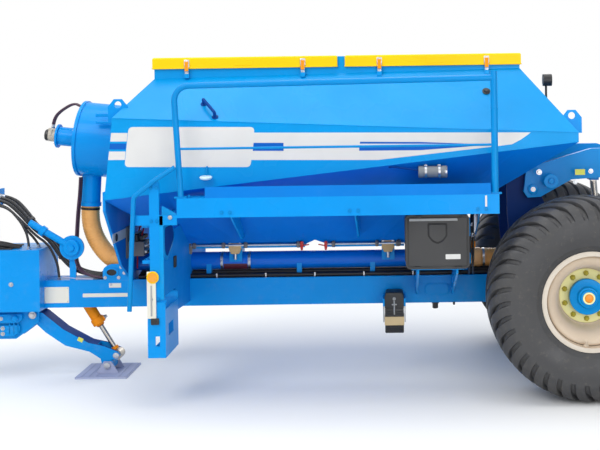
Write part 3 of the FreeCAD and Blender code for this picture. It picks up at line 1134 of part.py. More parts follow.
def make_all():
    make_spine_beam()
    make_head_block()
    make_drawbar()
    make_hitch()
    make_leg_bracket()
    make_parking_leg()
    make_leg_foot()
    cylinder_pair("leg_cylinder", ("barrel_pin_x", "barrel_pin_z"), ("rod_pin_x", "rod_pin_z"),
                  "leg_barrel_radius", "leg_barrel_length", "leg_rod_radius", "leg_pin_radius",
                  "rod_pin_radius", "leg_half - rod_ear - 4")
    make_axle()
    make_wheels()
    make_hopper_walls()
    make_collar()
    make_lids()
    make_cross_frames()
    make_platform()
    make_handrail()
    make_ladder()
    make_folding_ladder()
    make_grab_rail()
    make_fan()
    make_pipe()
    make_air_hoses()
    make_toolbox()
    make_chock()
    make_lift_arms()
    cylinder_pair("lift_cylinder", (LIFT_BASE_X, "lift_base_z"), ("eye_x", "eye_z"),
                  "lift_barrel_radius", "lift_barrel_length", "lift_rod_radius", "lift_pin_small",
                  "eye_pin_radius", "40")
    make_hose_carrier()
    make_hydraulic_hoses()
    make_hopper_fittings()
    make_side_marker()


make_all()
doc.recompute()
for item in doc.Objects:
    if "Invalid" in item.State or "Error" in item.State:
        raise RuntimeError(f"{item.Label} failed: {item.State}")
os.makedirs("parts", exist_ok=True)
for item in NODES:
    shape = item.Shape
    if shape.isNull() or not shape.isValid():
        raise RuntimeError(f"{item.Label} has no valid shape")
    if not shape.Solids:
        raise RuntimeError(f"{item.Label} has no solid")
    shape.exportStep(f"parts/{item.Label}.step")
    box_now = shape.BoundBox
    print(f"{item.Label:22s} {len(shape.Solids)} solids {shape.Volume / 1e6:9.2f} l  "
          f"X {box_now.XMin:7.0f} {box_now.XMax:7.0f}  Y {box_now.YMin:6.0f} {box_now.YMax:6.0f}  "
          f"Z {box_now.ZMin:6.0f} {box_now.ZMax:6.0f}")
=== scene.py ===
"""Seed hopper cart: finishes, stripes, fittings and studio round the fixed model, in metres."""
import math

import bmesh
import bpy
from mathutils import Matrix, Vector


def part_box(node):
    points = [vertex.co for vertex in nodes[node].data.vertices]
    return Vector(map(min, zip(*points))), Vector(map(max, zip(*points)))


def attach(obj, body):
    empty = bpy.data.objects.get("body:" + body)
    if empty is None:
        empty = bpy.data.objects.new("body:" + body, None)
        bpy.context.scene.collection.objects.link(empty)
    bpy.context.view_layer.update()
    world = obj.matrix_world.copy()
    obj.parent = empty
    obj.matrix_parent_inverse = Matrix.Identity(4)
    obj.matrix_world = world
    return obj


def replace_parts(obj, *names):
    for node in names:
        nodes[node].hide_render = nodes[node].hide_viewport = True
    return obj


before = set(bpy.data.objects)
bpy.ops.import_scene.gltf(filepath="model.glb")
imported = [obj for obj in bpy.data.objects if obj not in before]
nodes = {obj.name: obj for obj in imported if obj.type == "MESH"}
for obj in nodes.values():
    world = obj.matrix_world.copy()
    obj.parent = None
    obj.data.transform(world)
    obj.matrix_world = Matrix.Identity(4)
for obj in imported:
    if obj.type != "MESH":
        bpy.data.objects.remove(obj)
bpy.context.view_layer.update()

# The ways that things face; the front is -X, and the side with the ladder is the left one.
LEFT = (0, -1, 0)
RIGHT = (0, 1, 0)
REAR = (1, 0, 0)
FRONT = (-1, 0, 0)
UP = (0, 0, 1)
DOWN = (0, 0, -1)


# ---- Bench tools -------------------------------------------------------------------------------

def deselect():
    """Nothing selected, so that the next tool acts on its own piece alone."""
    bpy.ops.object.select_all(action="DESELECT")


def opened(piece, mode="VERT"):
    """One piece in edit mode with nothing selected."""
    deselect()
    piece.select_set(True)
    bpy.context.view_layer.objects.active = piece
    bpy.ops.object.mode_set(mode="EDIT")
    bpy.ops.mesh.select_mode(type=mode)
    bpy.ops.mesh.select_all(action="DESELECT")
    return piece


def shut(piece):
    """Back to object mode, with doubles merged and faces turned outwards."""
    bpy.ops.mesh.select_all(action="SELECT")
    bpy.ops.mesh.remove_doubles(threshold=0.00002)
    bpy.ops.mesh.normals_make_consistent(inside=False)
    bpy.ops.object.mode_set(mode="OBJECT")
    return piece


def pick_faces(piece, test):
    """Select the faces of the open piece whose middle and normal pass the test."""
    mesh = bmesh.from_edit_mesh(piece.data)
    for face in mesh.faces:
        face.select_set(bool(test(face.calc_center_median(), face.normal)))
    bmesh.update_edit_mesh(piece.data)


def modified(piece, kind, **settings):
    """Add one modifier and apply it."""
    deselect()
    piece.select_set(True)
    bpy.context.view_layer.objects.active = piece
    step = piece.modifiers.new(kind.lower(), kind)
    for name, setting in settings.items():
        setattr(step, name, setting)
    bpy.ops.object.modifier_apply(modifier=step.name)
    return piece


def rounded(piece, width, segments=2, angle=40.0):
    """Edges that turn by more than the angle, in degrees, bevelled over."""
    return modified(piece, "BEVEL", width=width, segments=segments, limit_method="ANGLE",
                    angle_limit=math.radians(angle))


def stretched(piece, factors, centre):
    """The whole piece scaled about a point."""
    opened(piece)
    bpy.ops.mesh.select_all(action="SELECT")
    bpy.ops.transform.resize(value=factors, center_override=centre)
    return shut(piece)


def block(low, high, round_off=0.0, segments=2):
    """A block between two corners, its edges rounded over."""
    low, high = Vector(low), Vector(high)
    deselect()
    bpy.ops.mesh.primitive_cube_add(size=1.0, location=(low + high) / 2)
    piece = bpy.context.object
    piece.scale = high - low
    bpy.ops.object.transform_apply(location=True, rotation=True, scale=True)
    return rounded(piece, round_off, segments) if round_off else piece


def loop(points):
    """A closed loop of edges through the points, open and selected."""
    deselect()
    bpy.ops.mesh.primitive_circle_add(vertices=len(points), radius=1.0)
    piece = bpy.context.object
    bpy.ops.object.mode_set(mode="EDIT")
    mesh = bmesh.from_edit_mesh(piece.data)
    for vertex, place in zip(mesh.verts, points):
        vertex.co = place
    bmesh.update_edit_mesh(piece.data)
    bpy.ops.mesh.select_all(action="SELECT")
    return piece


def cut_plate(points, thick, round_off=0.0, segments=2):
    """A plate of any outline; thick is the way and distance that it is raised."""
    piece = loop(points)
    bpy.ops.mesh.edge_face_add()
    bpy.ops.mesh.extrude_region_move(TRANSFORM_OT_translate={"value": thick})
    shut(piece)
    return rounded(piece, round_off, segments) if round_off else piece


def side_plate(outline, y, thick, round_off=0.0, segments=2):
    """A plate square to Y; its outline is in (x, z)."""
    return cut_plate([(x, y, z) for x, z in outline], (0, thick, 0), round_off, segments)


def lathed(outline, place, axis, steps=32, round_off=0.0):
    """A piece turned about an axis; its closed outline is in (along the axis, radius)."""
    axis = Vector(axis).normalized()
    across = axis.orthogonal().normalized()
    place = Vector(place)
    piece = loop([place + axis * along + across * radius for along, radius in outline])
    bpy.ops.mesh.spin(steps=steps, angle=2 * math.pi, center=place, axis=axis)
    shut(piece)
    return rounded(piece, round_off, 1, 50.0) if round_off else piece


def hoop(start, end, inner, outer, place, axis, steps=32):
    """A band about an axis, from start to end along it and from the inner to the outer radius."""
    return lathed([(start, inner), (start, outer), (end, outer), (end, inner)], place, axis, steps)


def turned(outline, place, axis, steps=32, round_off=0.0):
    """A solid turned about an axis: lathed, with flat ends down to the axis."""
    closed = [(outline[0][0], 0.0)] + outline + [(outline[-1][0], 0.0)]
    return lathed(closed, place, axis, steps, round_off)


def pole(start, end, radius, sides=20):
    """A round bar between two points, its ends eased."""
    start, end = Vector(start), Vector(end)
    length = (end - start).length
    ease = min(radius * 0.15, length * 0.1)
    return turned([(0, radius - ease), (ease, radius), (length - ease, radius), (length, radius - ease)],
                  start, end - start, sides)


def hexagon(place, axis, across, height, washer=0.0):
    """A nut or bolt head with its washer, standing on a place."""
    head = turned([(washer, across / 2), (height * 0.85, across / 2), (height, across / 2 * 0.8)], place,
                  axis, 6)
    if not washer:
        return head
    ring = turned([(0, across * 0.72), (washer, across * 0.72)], place, axis, 16)
    return joined([head, ring])


def copied(piece, move):
    """A copy with its own mesh, moved by a matrix."""
    twin = piece.copy()
    twin.data = piece.data.copy()
    twin.data.transform(move)
    bpy.context.scene.collection.objects.link(twin)
    return twin


def joined(pieces):
    """Several meshes as one."""
    deselect()
    for piece in pieces:
        piece.select_set(True)
    bpy.context.view_layer.objects.active = pieces[0]
    if len(pieces) > 1:
        bpy.ops.object.join()
    return pieces[0]


def repeated(piece, moves):
    """The piece copied once for each matrix, all as one mesh; the pattern itself is used up."""
    twins = [copied(piece, move) for move in moves]
    bpy.data.objects.remove(piece, do_unlink=True)
    return joined(twins)


def both_sides(piece):
    """The piece and its mirror image across the machine's middle."""
    twin = copied(piece, Matrix.Scale(-1, 4, RIGHT))
    twin.data.flip_normals()
    return joined([piece, twin])


def dressed(piece, name, material, body="chassis", smooth=32.0):
    """Name, finish, shading and body of a piece that is done."""
    piece.name = name
    piece.data.name = name
    piece.data.materials.clear()
    piece.data.materials.append(material)
    deselect()
    piece.select_set(True)
    bpy.context.view_layer.objects.active = piece
    bpy.ops.object.shade_smooth_by_angle(angle=math.radians(smooth))
    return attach(piece, body)


# ---- Finishes ----------------------------------------------------------------------------------

def shade(red, green, blue):
    """A screen colour, 0 to 255, as the linear colour that a shader wants."""
    def linear(level):
        """One level, 0 to 255, as light."""
        level /= 255
        return level / 12.92 if level <= 0.04045 else ((level + 0.055) / 1.055) ** 2.4
    return (linear(red), linear(green), linear(blue), 1.0)


def scaled(colour, factor):
    """A colour made darker or lighter."""
    return tuple(level * factor for level in colour[:3]) + (1.0,)


class Finish:
    """A material under construction: its nodes, its shader and a few steps that finishes share."""

    def __init__(self, name, colour, roughness, metallic=0.0, coat=0.0):
        self.material = bpy.data.materials.new(name)
        self.material.use_nodes = True
        self.tree = self.material.node_tree
        self.shader = self.tree.nodes["Principled BSDF"]
        self.place = self.add("ShaderNodeTexCoord").outputs["Object"]
        self.shader.inputs["Base Color"].default_value = colour
        self.shader.inputs["Roughness"].default_value = roughness
        self.shader.inputs["Metallic"].default_value = metallic
        self.shader.inputs["Coat Weight"].default_value = coat
        self.shader.inputs["Coat Roughness"].default_value = 0.08
        self.colour = None
        self.base = colour
        self.height = None

    def add(self, kind):
        """One more node."""
        return self.tree.nodes.new(kind)

    def link(self, source, target):
        """One socket wired to another."""
        self.tree.links.new(source, target)

    def noise(self, scale, detail=4.0, roughness=0.55, stretch=None):
        """A noise pattern's strength over the object; stretch squeezes it along each axis."""
        texture = self.add("ShaderNodeTexNoise")
        texture.inputs["Scale"].default_value = scale
        texture.inputs["Detail"].default_value = detail
        texture.inputs["Roughness"].default_value = roughness
        source = self.place
        if stretch:
            mapping = self.add("ShaderNodeMapping")
            mapping.inputs["Scale"].default_value = stretch
            self.link(source, mapping.inputs["Vector"])
            source = mapping.outputs["Vector"]
        self.link(source, texture.inputs["Vector"])
        return texture.outputs["Fac"]

    def ramp(self, source, low, high, start=0.0, end=1.0):
        """A smooth step of a pattern, from start at low to end at high."""
        steps = self.add("ShaderNodeMapRange")
        steps.interpolation_type = "SMOOTHSTEP"
        for name, level in (("From Min", low), ("From Max", high), ("To Min", start), ("To Max", end)):
            steps.inputs[name].default_value = level
        self.link(source, steps.inputs["Value"])
        return steps.outputs["Result"]

    def product(self, first, second):
        """Two patterns multiplied."""
        times = self.add("ShaderNodeMath")
        times.operation = "MULTIPLY"
        self.link(first, times.inputs[0])
        self.link(second, times.inputs[1])
        return times.outputs[0]

    def tint(self, amount, colour):
        """Lay another colour over the present one, where a pattern says and as much as it says."""
        mix = self.add("ShaderNodeMix")
        mix.data_type = "RGBA"
        mix.inputs["B"].default_value = colour
        if self.colour is None:
            mix.inputs["A"].default_value = self.base
        else:
            self.link(self.colour, mix.inputs["A"])
        self.link(amount, mix.inputs["Factor"])
        self.colour = mix.outputs["Result"]
        self.link(self.colour, self.shader.inputs["Base Color"])

    def uneven(self, pattern, low, high):
        """Roughness that follows a pattern."""
        self.link(self.ramp(pattern, 0.3, 0.7, low, high), self.shader.inputs["Roughness"])

    def relief(self, pattern, distance, strength=1.0):
        """Surface bumps from a pattern, in metres, over those laid before."""
        bump = self.add("ShaderNodeBump")
        bump.inputs["Strength"].default_value = strength
        bump.inputs["Distance"].default_value = distance
        self.link(pattern, bump.inputs["Height"])
        if self.height is not None:
            self.link(self.height, bump.inputs["Normal"])
        self.height = bump.outputs["Normal"]
        self.link(self.height, self.shader.inputs["Normal"])

    def coordinate(self, axis):
        """One coordinate of the place on the object."""
        split = self.add("ShaderNodeSeparateXYZ")
        self.link(self.place, split.inputs[0])
        return split.outputs[axis]


def painted(name, colour, roughness=0.3, coat=0.06, dusty=0.12):
    """Sprayed enamel: a little orange peel, cloudy gloss, and dust that thins with height."""
    finish = Finish(name, colour, roughness, coat=coat)
    finish.shader.inputs["Specular IOR Level"].default_value = 0.12
    clouds = finish.noise(1.7, 3.0)
    finish.tint(finish.ramp(clouds, 0.35, 0.75, 0.0, 0.6), scaled(colour, 0.86))
    low_down = finish.ramp(finish.coordinate("Z"), 0.1, 1.3, 1.0, 0.12)
    specks = finish.ramp(finish.noise(9.0, 6.0, 0.7), 0.5, 0.8, 0.0, dusty)
    finish.tint(finish.product(low_down, specks), shade(176, 160, 138))
    finish.uneven(clouds, roughness * 0.8, roughness * 1.35)
    finish.relief(finish.noise(420.0, 2.0), 0.0004, 0.14)
    return finish.material


def rubber(name, colour, roughness, grain=260.0):
    """Black rubber: fine grain, a grey bloom in patches."""
    finish = Finish(name, colour, roughness)
    bloom = finish.noise(6.0, 5.0, 0.65)
    finish.tint(finish.ramp(bloom, 0.45, 0.8, 0.0, 0.45), scaled(colour, 1.9))
    finish.uneven(bloom, roughness * 0.85, min(1.0, roughness * 1.2))
    finish.relief(finish.noise(grain, 3.0), 0.0008, 0.25)
    return finish.material


def tyre_rubber():
    """Tread rubber: a grey bloom in patches, specks of road dust and a fine grain."""
    finish = Finish("tyre_rubber", shade(52, 52, 54), 0.78)
    bloom = finish.noise(4.0, 6.0, 0.7)
    finish.tint(finish.ramp(bloom, 0.4, 0.75, 0.0, 0.55), shade(78, 77, 75))
    dust = finish.ramp(finish.noise(22.0, 5.0, 0.75), 0.52, 0.8, 0.0, 0.35)
    finish.tint(dust, shade(120, 112, 100))
    finish.uneven(bloom, 0.40, 0.74)
    finish.relief(finish.noise(300.0, 3.0), 0.001, 0.3)
    return finish.material


def moulded(name, colour, roughness=0.5, grain=700.0):
    """Moulded plastic with a fine leathery grain."""
    finish = Finish(name, colour, roughness)
    clouds = finish.noise(5.0, 3.0)
    finish.tint(finish.ramp(clouds, 0.4, 0.7, 0.0, 0.3), scaled(colour, 1.35))
    finish.uneven(clouds, roughness * 0.85, roughness * 1.2)
    finish.relief(finish.noise(grain, 2.0), 0.0005, 0.3)
    return finish.material


def bare_metal(name, colour, roughness, brushed=(1.0, 1.0, 8.0)):
    """Zinc or steel: cloudy sheen and fine scratches along the brushing."""
    finish = Finish(name, colour, roughness, metallic=1.0)
    clouds = finish.noise(14.0, 4.0)
    finish.tint(finish.ramp(clouds, 0.35, 0.75, 0.0, 0.5), scaled(colour, 0.72))
    scratches = finish.noise(160.0, 2.0, 0.6, brushed)
    finish.uneven(scratches, roughness * 0.7, roughness * 1.4)
    finish.relief(scratches, 0.0002, 0.1)
    return finish.material


def ribbed_hose():
    """Warm hose wall, cloudy, with a fine grain."""
    finish = Finish("ribbed_hose", shade(238, 172, 94), 0.42)
    clouds = finish.noise(5.0, 4.0)
    finish.tint(finish.ramp(clouds, 0.35, 0.75, 0.0, 0.5), shade(222, 150, 78))
    finish.uneven(clouds, 0.34, 0.55)
    finish.relief(finish.noise(240.0, 2.0), 0.0005, 0.15)
    return finish.material


def lens(name, colour):
    """Amber or pale plastic lens with a faceted back."""
    finish = Finish(name, colour, 0.18, coat=0.6)
    cells = finish.add("ShaderNodeTexVoronoi")
    cells.inputs["Scale"].default_value = 130.0
    finish.link(finish.place, cells.inputs["Vector"])
    finish.relief(cells.outputs["Distance"], 0.001, 0.35)
    # Painted glint: the colour is lighter towards the facets' edges.
    finish.tint(finish.ramp(cells.outputs["Distance"], 0.2, 0.7, 0.0, 0.35),
                tuple(min(1.0, level * 1.5 + 0.02) for level in colour[:3]) + (1.0,))
    return finish.material


BLUE = painted("machine_blue", shade(0, 142, 218))
MATT_BLUE = painted("matt_blue", shade(0, 134, 214), roughness=0.6, coat=0.0)
HOPPER_BLUE = painted("hopper_blue", shade(0, 146, 214), roughness=0.28, coat=0.06, dusty=0.12)
RAIL_BLUE = painted("rail_blue", shade(0, 132, 200))
# Dark blue paint for the grip and the lever; on the leg's top and in the cross frame's opening it is
# painted shade.
DEEP_BLUE = painted("deep_blue", shade(4, 62, 136), roughness=0.6, coat=0.0)
YELLOW = painted("lid_yellow", shade(246, 200, 10), roughness=0.34, dusty=0.12)
ORANGE = painted("cylinder_orange", shade(244, 144, 18), roughness=0.32, dusty=0.1)
CREAM = painted("rim_cream", shade(206, 188, 166), roughness=0.4, coat=0.12, dusty=0.6)
PALE_STEEL = painted("foot_primer", shade(166, 172, 198), roughness=0.5, coat=0.0)
WHITE = painted("stripe_white", shade(214, 212, 208), roughness=0.3, dusty=0.1)
STRIPE_BLUE = painted("stripe_blue", shade(10, 92, 182), roughness=0.3, dusty=0.1)
PLATE_CREAM = painted("plate_cream", shade(224, 220, 206), roughness=0.38, dusty=0.1)
TOE_BLUE = painted("toe_board_blue", shade(0, 118, 204), roughness=0.45, coat=0.0)
PIPE_BLUE = painted("air_pipe_blue", shade(0, 104, 206), roughness=0.22, coat=0.25, dusty=0.05)
# Painted shade: a darker blue for the hopper flanks' faces that look down.
FLANK_SHADE_BLUE = painted("flank_painted_shade", shade(0, 116, 214), roughness=0.4, coat=0.0, dusty=0.1)
LIP_GREY = painted("rim_lip_paint", shade(206, 195, 180), roughness=0.4, dusty=0.15)
# Partly the ring's yellow-green paint and partly painted light: it is made paler for the light that falls
# into the wheel's dish.
GREEN_RING_AND_LIGHT = painted("disc_green_and_painted_light", shade(244, 238, 172), roughness=0.4, dusty=0.1)
NUT_OLIVE = painted("nut_olive", shade(176, 164, 58), roughness=0.36, dusty=0.1)
# Painted shade: the towers are dark navy for the deep shade between the deck and the wheel.
TOWER_SHADE_NAVY = painted("tower_painted_shade", shade(3, 44, 104), roughness=0.55, coat=0.0)
ZINC = bare_metal("zinc_plate", shade(190, 192, 196), 0.34)
STEEL_ROD = bare_metal("polished_rod", shade(184, 178, 168), 0.32, (8.0, 8.0, 1.0))
TYRE = tyre_rubber()
HOSE_BLACK = rubber("hose_black", shade(26, 26, 28), 0.5)
# Black rubber for seals, ties and the mat; also painted shade in the rim's gap and the guard's hole.
BLACK_RUBBER_AND_SHADE = rubber("black_rubber_and_painted_shade", shade(20, 20, 22), 0.62)
BOX_GREY = moulded("toolbox_grey", shade(46, 46, 47), 0.5)
BLACK_PLASTIC = moulded("black_plastic", shade(28, 28, 30), 0.45)
MOTOR_GREY = moulded("motor_casting", shade(88, 92, 98), 0.55, 300.0)
CANISTER_GREY = moulded("canister_grey", shade(116, 120, 124), 0.5)
AIR_HOSE = ribbed_hose()
AMBER = lens("amber_lens", shade(240, 140, 0))
AMBER_CAP = moulded("hub_cap_amber", shade(232, 140, 10), 0.35)
PALE_LENS = lens("pale_lens", shade(196, 220, 226))
CAST_BEIGE = moulded("motor_casting_beige", shade(178, 170, 156), 0.5, 300.0)
PURPLE_HOSE = rubber("drive_hose", shade(58, 30, 52), 0.42)
CAP_RED = moulded("dust_cap_red", shade(190, 34, 30), 0.4)
CAP_BLUE = moulded("dust_cap_blue", shade(30, 70, 160), 0.4)
HOUSING_TAN = moulded("housing_tan", shade(198, 164, 112), 0.5, 300.0)
CAST_GREY = moulded("cast_grey", shade(112, 108, 106), 0.55, 300.0)
LABEL_MAROON = moulded("label_maroon", shade(84, 34, 48), 0.4)
STRIP_GREY = moulded("strip_grey", shade(150, 152, 152), 0.4)
# Partly the cuff's own tan and partly painted light: lighter than the hose's tan so that the rear hose
# looks lit.
CUFF_TAN_AND_LIGHT = moulded("hose_cuff_tan_and_painted_light", shade(244, 182, 116), 0.45)
BAND_TAN = moulded("holder_tan", shade(196, 172, 128), 0.5)
LABEL_LIME = moulded("label_lime", shade(214, 214, 84), 0.4)

NODE_FINISHES = (
    (YELLOW, ["front_lid", "rear_lid"]),
    (ORANGE, ["front_lid_latches", "rear_lid_latches"]),
    (HOPPER_BLUE, ["left_hopper_side", "right_hopper_side", "hopper_front_wall",
                   "hopper_rear_wall", "hopper_partition", "hopper_collar"]),
    (RAIL_BLUE, ["handrail", "grab_rail"]),
    (MATT_BLUE, ["front_bulkhead", "front_crossframe"]),
    # Painted shade on the towers.
    (TOWER_SHADE_NAVY, ["left_tower", "right_tower"]),
    (PIPE_BLUE, ["air_pipe"]),
    (PALE_STEEL, ["leg_foot"]),
    (STEEL_ROD, ["leg_cylinder_rod", "lift_cylinder_rod"]),
    (ORANGE, ["leg_cylinder_barrel", "lift_cylinder_barrel"]),
    (TYRE, ["left_tyre", "right_tyre"]),
    (CREAM, ["left_rim", "right_rim"]),
    (AIR_HOSE, ["air_hose", "rear_air_hose"]),
    (HOSE_BLACK, ["hydraulic_hoses"]),
    (BOX_GREY, ["toolbox", "toolbox_door"]),
    (BLACK_PLASTIC, ["wheel_chock", "work_lamp"]),
    (MOTOR_GREY, ["fan_motor"]),
    (CANISTER_GREY, ["document_canister"]),
    (PLATE_CREAM, ["marker_plate"]),
    (AMBER, ["amber_reflector"]),
)


def finish_nodes():
    """Every carried-over node gets its finish; what isn't listed is machine blue."""
    chosen = {name: material for material, names in NODE_FINISHES for name in names}
    for name, piece in nodes.items():
        piece.data.materials.clear()
        piece.data.materials.append(chosen.get(name, BLUE))


def second_finish(name, material, test):
    """The faces of a carried-over node that pass the test get another finish."""
    piece = opened(nodes[name], "FACE")
    piece.data.materials.append(material)
    pick_faces(piece, test)
    piece.active_material_index = 1
    bpy.ops.object.material_slot_assign()
    bpy.ops.object.mode_set(mode="OBJECT")


def finish_shaded_faces():
    """Painted shade on the hopper flanks that look down and on the leg's top; other paint on the toe board
    and the rims' flanges.
    """
    deck_top, toe_board, rim_outside = 1.53, -1.15, 1.10
    for wall in ("left_hopper_side", "right_hopper_side"):
        # Painted shade: the flank faces that look down and out get the darker blue.
        second_finish(wall, FLANK_SHADE_BLUE, lambda middle, normal: normal.z < -0.08 and middle.y * normal.y > 0)
    # Painted shade: the leg's top faces are dark blue for the shade along them.
    second_finish("parking_leg", DEEP_BLUE, lambda middle, normal: normal.z > 0.6)
    second_finish("work_platform", TOE_BLUE, lambda middle,
                  normal: middle.z > deck_top and middle.y < toe_board)
    for rim in ("left_rim", "right_rim"):
        second_finish(rim, LIP_GREY, lambda middle,
                      normal: abs(middle.y) > rim_outside and abs(normal.y) > 0.9)


finish_nodes()
finish_shaded_faces()


# ---- Wheels ------------------------------------------------------------------------------------

AXLE = Vector((2.32, 0.0, 0.74))
WHEEL_Y = 0.955
LUGS = 38
# One pitch of the tread: (share of the pitch, height from groove floor 0 to lug top 1)
LUG_SECTION = ((-0.075, 0.0), (-0.05, 0.35), (-0.022, 0.86), (0.0, 0.97), (0.025, 1.0), (0.2, 1.0),
               (0.41, 1.0), (0.585, 1.0), (0.61, 0.97), (0.632, 0.86), (0.66, 0.35), (0.685, 0.0),
               (0.8, 0.0), (0.925, 0.0))
# Half of the tyre's section from its middle outwards: (offset, radius, groove depth)
TREAD_ROWS = ((0.0125, 0.706, 0.0), (0.0140, 0.738, 0.032), (0.0170, 0.740, 0.034),
              (0.060, 0.7395, 0.034), (0.110, 0.7375, 0.034), (0.160, 0.7335, 0.033),
              (0.200, 0.728, 0.032), (0.235, 0.7185, 0.031), (0.262, 0.7055, 0.029),
              (0.282, 0.688, 0.027), (0.298, 0.666, 0.024), (0.309, 0.642, 0.020),
              (0.316, 0.618, 0.015), (0.319, 0.600, 0.010))
WALL_ROWS = ((0.3185, 0.590), (0.320, 0.556), (0.3205, 0.520), (0.318, 0.484), (0.310, 0.446),
             (0.299, 0.414), (0.2965, 0.402), (0.291, 0.396), (0.284, 0.386), (0.277, 0.372),
             (0.274, 0.364), (0.273, 0.3395), (0.241, 0.3435), (0.262, 0.415), (0.286, 0.520),
             (0.244, 0.634), (0.120, 0.650))
LUG_SWEEP = 1.75
DRUM = 0.196
DISC_FACE = 0.945
HUB_END = 1.078
STUD_RING = 0.1675


def tyre_rows(side):
    """Rows of one half, middle outwards: (offset, radius, depth, way in, sweep in pitches)."""
    outer = list(TREAD_ROWS) + [(y, radius, 0.0) for y, radius in WALL_ROWS]
    length = [0.0]
    for before, after in zip(outer, outer[1:]):
        length.append(length[-1] + math.dist(before[:2], after[:2]))
    full = length[len(TREAD_ROWS) - 1]
    rows = []
    for index, (y, radius, depth) in enumerate(outer):
        before, after = outer[max(index - 1, 0)], outer[min(index + 1, len(outer) - 1)]
        inward = Vector((after[1] - before[1], before[0] - after[0])).normalized()
        share = min(1.0, length[index] / full)
        sweep = LUG_SWEEP * (0.35 * share + 0.65 * share * share * (3 - 2 * share))
        if y < 0.02:
            inward, sweep = Vector((0, -1)), 0.0
        rows.append((side * y, radius, depth, (side * inward.x, inward.y), sweep))
    return rows


def tyre_pitch():
    """One pitch of the tyre about the origin, both halves, as a grid bent to shape."""
    rows = [(0.0, 0.648, 0.0, (0, -1), LUG_SWEEP)] + tyre_rows(-1)[::-1] + tyre_rows(1)
    columns = len(LUG_SECTION)
    deselect()
    bpy.ops.mesh.primitive_grid_add(x_subdivisions=columns - 1, y_subdivisions=len(rows), size=1.0)
    piece = bpy.context.object
    for index, vertex in enumerate(piece.data.vertices):
        line, column = divmod(index, columns)
        y, radius, depth, inward, sweep = rows[line % len(rows)]
        share, height = LUG_SECTION[column]
        half_step = 0.5 if y > 0.0 else 0.0
        turn = 2 * math.pi * (share + half_step + sweep) / LUGS
        sink = depth * (1 - height)
        reach = radius + inward[1] * sink
        vertex.co = (-reach * math.sin(turn), y + inward[0] * sink, -reach * math.cos(turn))
    return piece


def make_tyres():
    """Each tyre is one pitch of its tread copied round, with its walls and bead, closed inside."""
    pattern = tyre_pitch()
    turns = [Matrix.Rotation(2 * math.pi * lug / LUGS, 4, "Y") for lug in range(LUGS)]
    ring = repeated(pattern, turns)
    opened(ring)
    shut(ring)
    for side, sign in (("left", -1), ("right", 1)):
        tyre = copied(ring, Matrix.Translation(AXLE + Vector((0, sign * WHEEL_Y, 0)))
                      @ Matrix.Scale(-sign, 4, RIGHT))
        if sign > 0:
            tyre.data.flip_normals()
        dressed(tyre, side + "_lugged_tyre", TYRE, side + "_wheel", 38.0)
        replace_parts(tyre, side + "_tyre")
    bpy.data.objects.remove(ring, do_unlink=True)


def wheel_nuts(side, sign):
    """Hexagon nuts with their cones and stud ends, round the disc."""
    body = side + "_wheel"
    out = Vector((0, sign, 0))
    face = sign * (DISC_FACE + 0.0003)
    nut = lathed([(0.0, 0.0172), (0.0, 0.021), (0.017, 0.021), (0.0225, 0.0175), (0.0225, 0.0105),
                  (0.0203, 0.0105), (0.0203, 0.0172)], (AXLE.x, face, AXLE.z), out, 6)
    cone = lathed([(0.0, 0.0172), (0.0, 0.0255), (0.005, 0.0235), (0.005, 0.0172)],
                  (AXLE.x, face, AXLE.z), out, 20)
    thread = turned([(0.02, 0.010), (0.031, 0.010), (0.033, 0.008)], (AXLE.x, face, AXLE.z), out, 12)
    places = [Matrix.Translation((STUD_RING * math.cos(turn), 0, STUD_RING * math.sin(turn)))
              for turn in (math.radians(18 + 36 * index) for index in range(10))]
    dressed(repeated(joined([nut, cone, thread]), places), side + "_wheel_nuts", NUT_OLIVE, body)


def wheel_hub(side, sign):
    """Stepped hub, its cap with a ring, and the ring on the disc."""
    body = side + "_wheel"
    out = Vector((0, sign, 0))
    hub_face = Vector((AXLE.x, sign * DISC_FACE, AXLE.z))
    turned_hub = lathed([(-0.164, 0.0451), (-0.164, DRUM), (-0.0143, DRUM), (-0.0143, 0.128),
                         (0.050, 0.128), (0.056, 0.132), (0.064, 0.132), (0.068, 0.128), (0.070, 0.118),
                         (0.078, 0.086), (0.082, 0.080), (0.106, 0.076), (0.112, 0.071), (0.114, 0.062),
                         (0.126, 0.058), (0.130, 0.053), (0.132, 0.0445), (0.133, 0.0445), (0.133, 0.0),
                         (-0.024, 0.0), (-0.024, 0.0451)], hub_face, out, 56)
    dressed(turned_hub, side + "_turned_hub", BLUE, body)
    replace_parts(turned_hub, side + "_hub")
    hub_end = Vector((AXLE.x, sign * HUB_END, AXLE.z))
    cap = lathed([(-0.004, 0.0), (-0.004, 0.032), (0.002, 0.032), (0.005, 0.0305), (0.010, 0.0295),
                  (0.013, 0.024), (0.0135, 0.0)], hub_end, out, 40)
    dressed(cap, side + "_hub_cap", AMBER_CAP, body)
    ring = lathed([(-0.002, 0.0322), (-0.002, 0.0445), (0.004, 0.0445), (0.006, 0.0425), (0.006, 0.0322)],
                  hub_end, out, 40)
    dressed(ring, side + "_cap_ring", GREEN_RING_AND_LIGHT, body)
    plate = lathed([(0.0005, 0.1283), (0.0005, 0.201), (0.005, 0.201), (0.0075, 0.198), (0.0075, 0.1283)],
                   hub_face, out, 72)
    dressed(plate, side + "_disc_ring", GREEN_RING_AND_LIGHT, body)


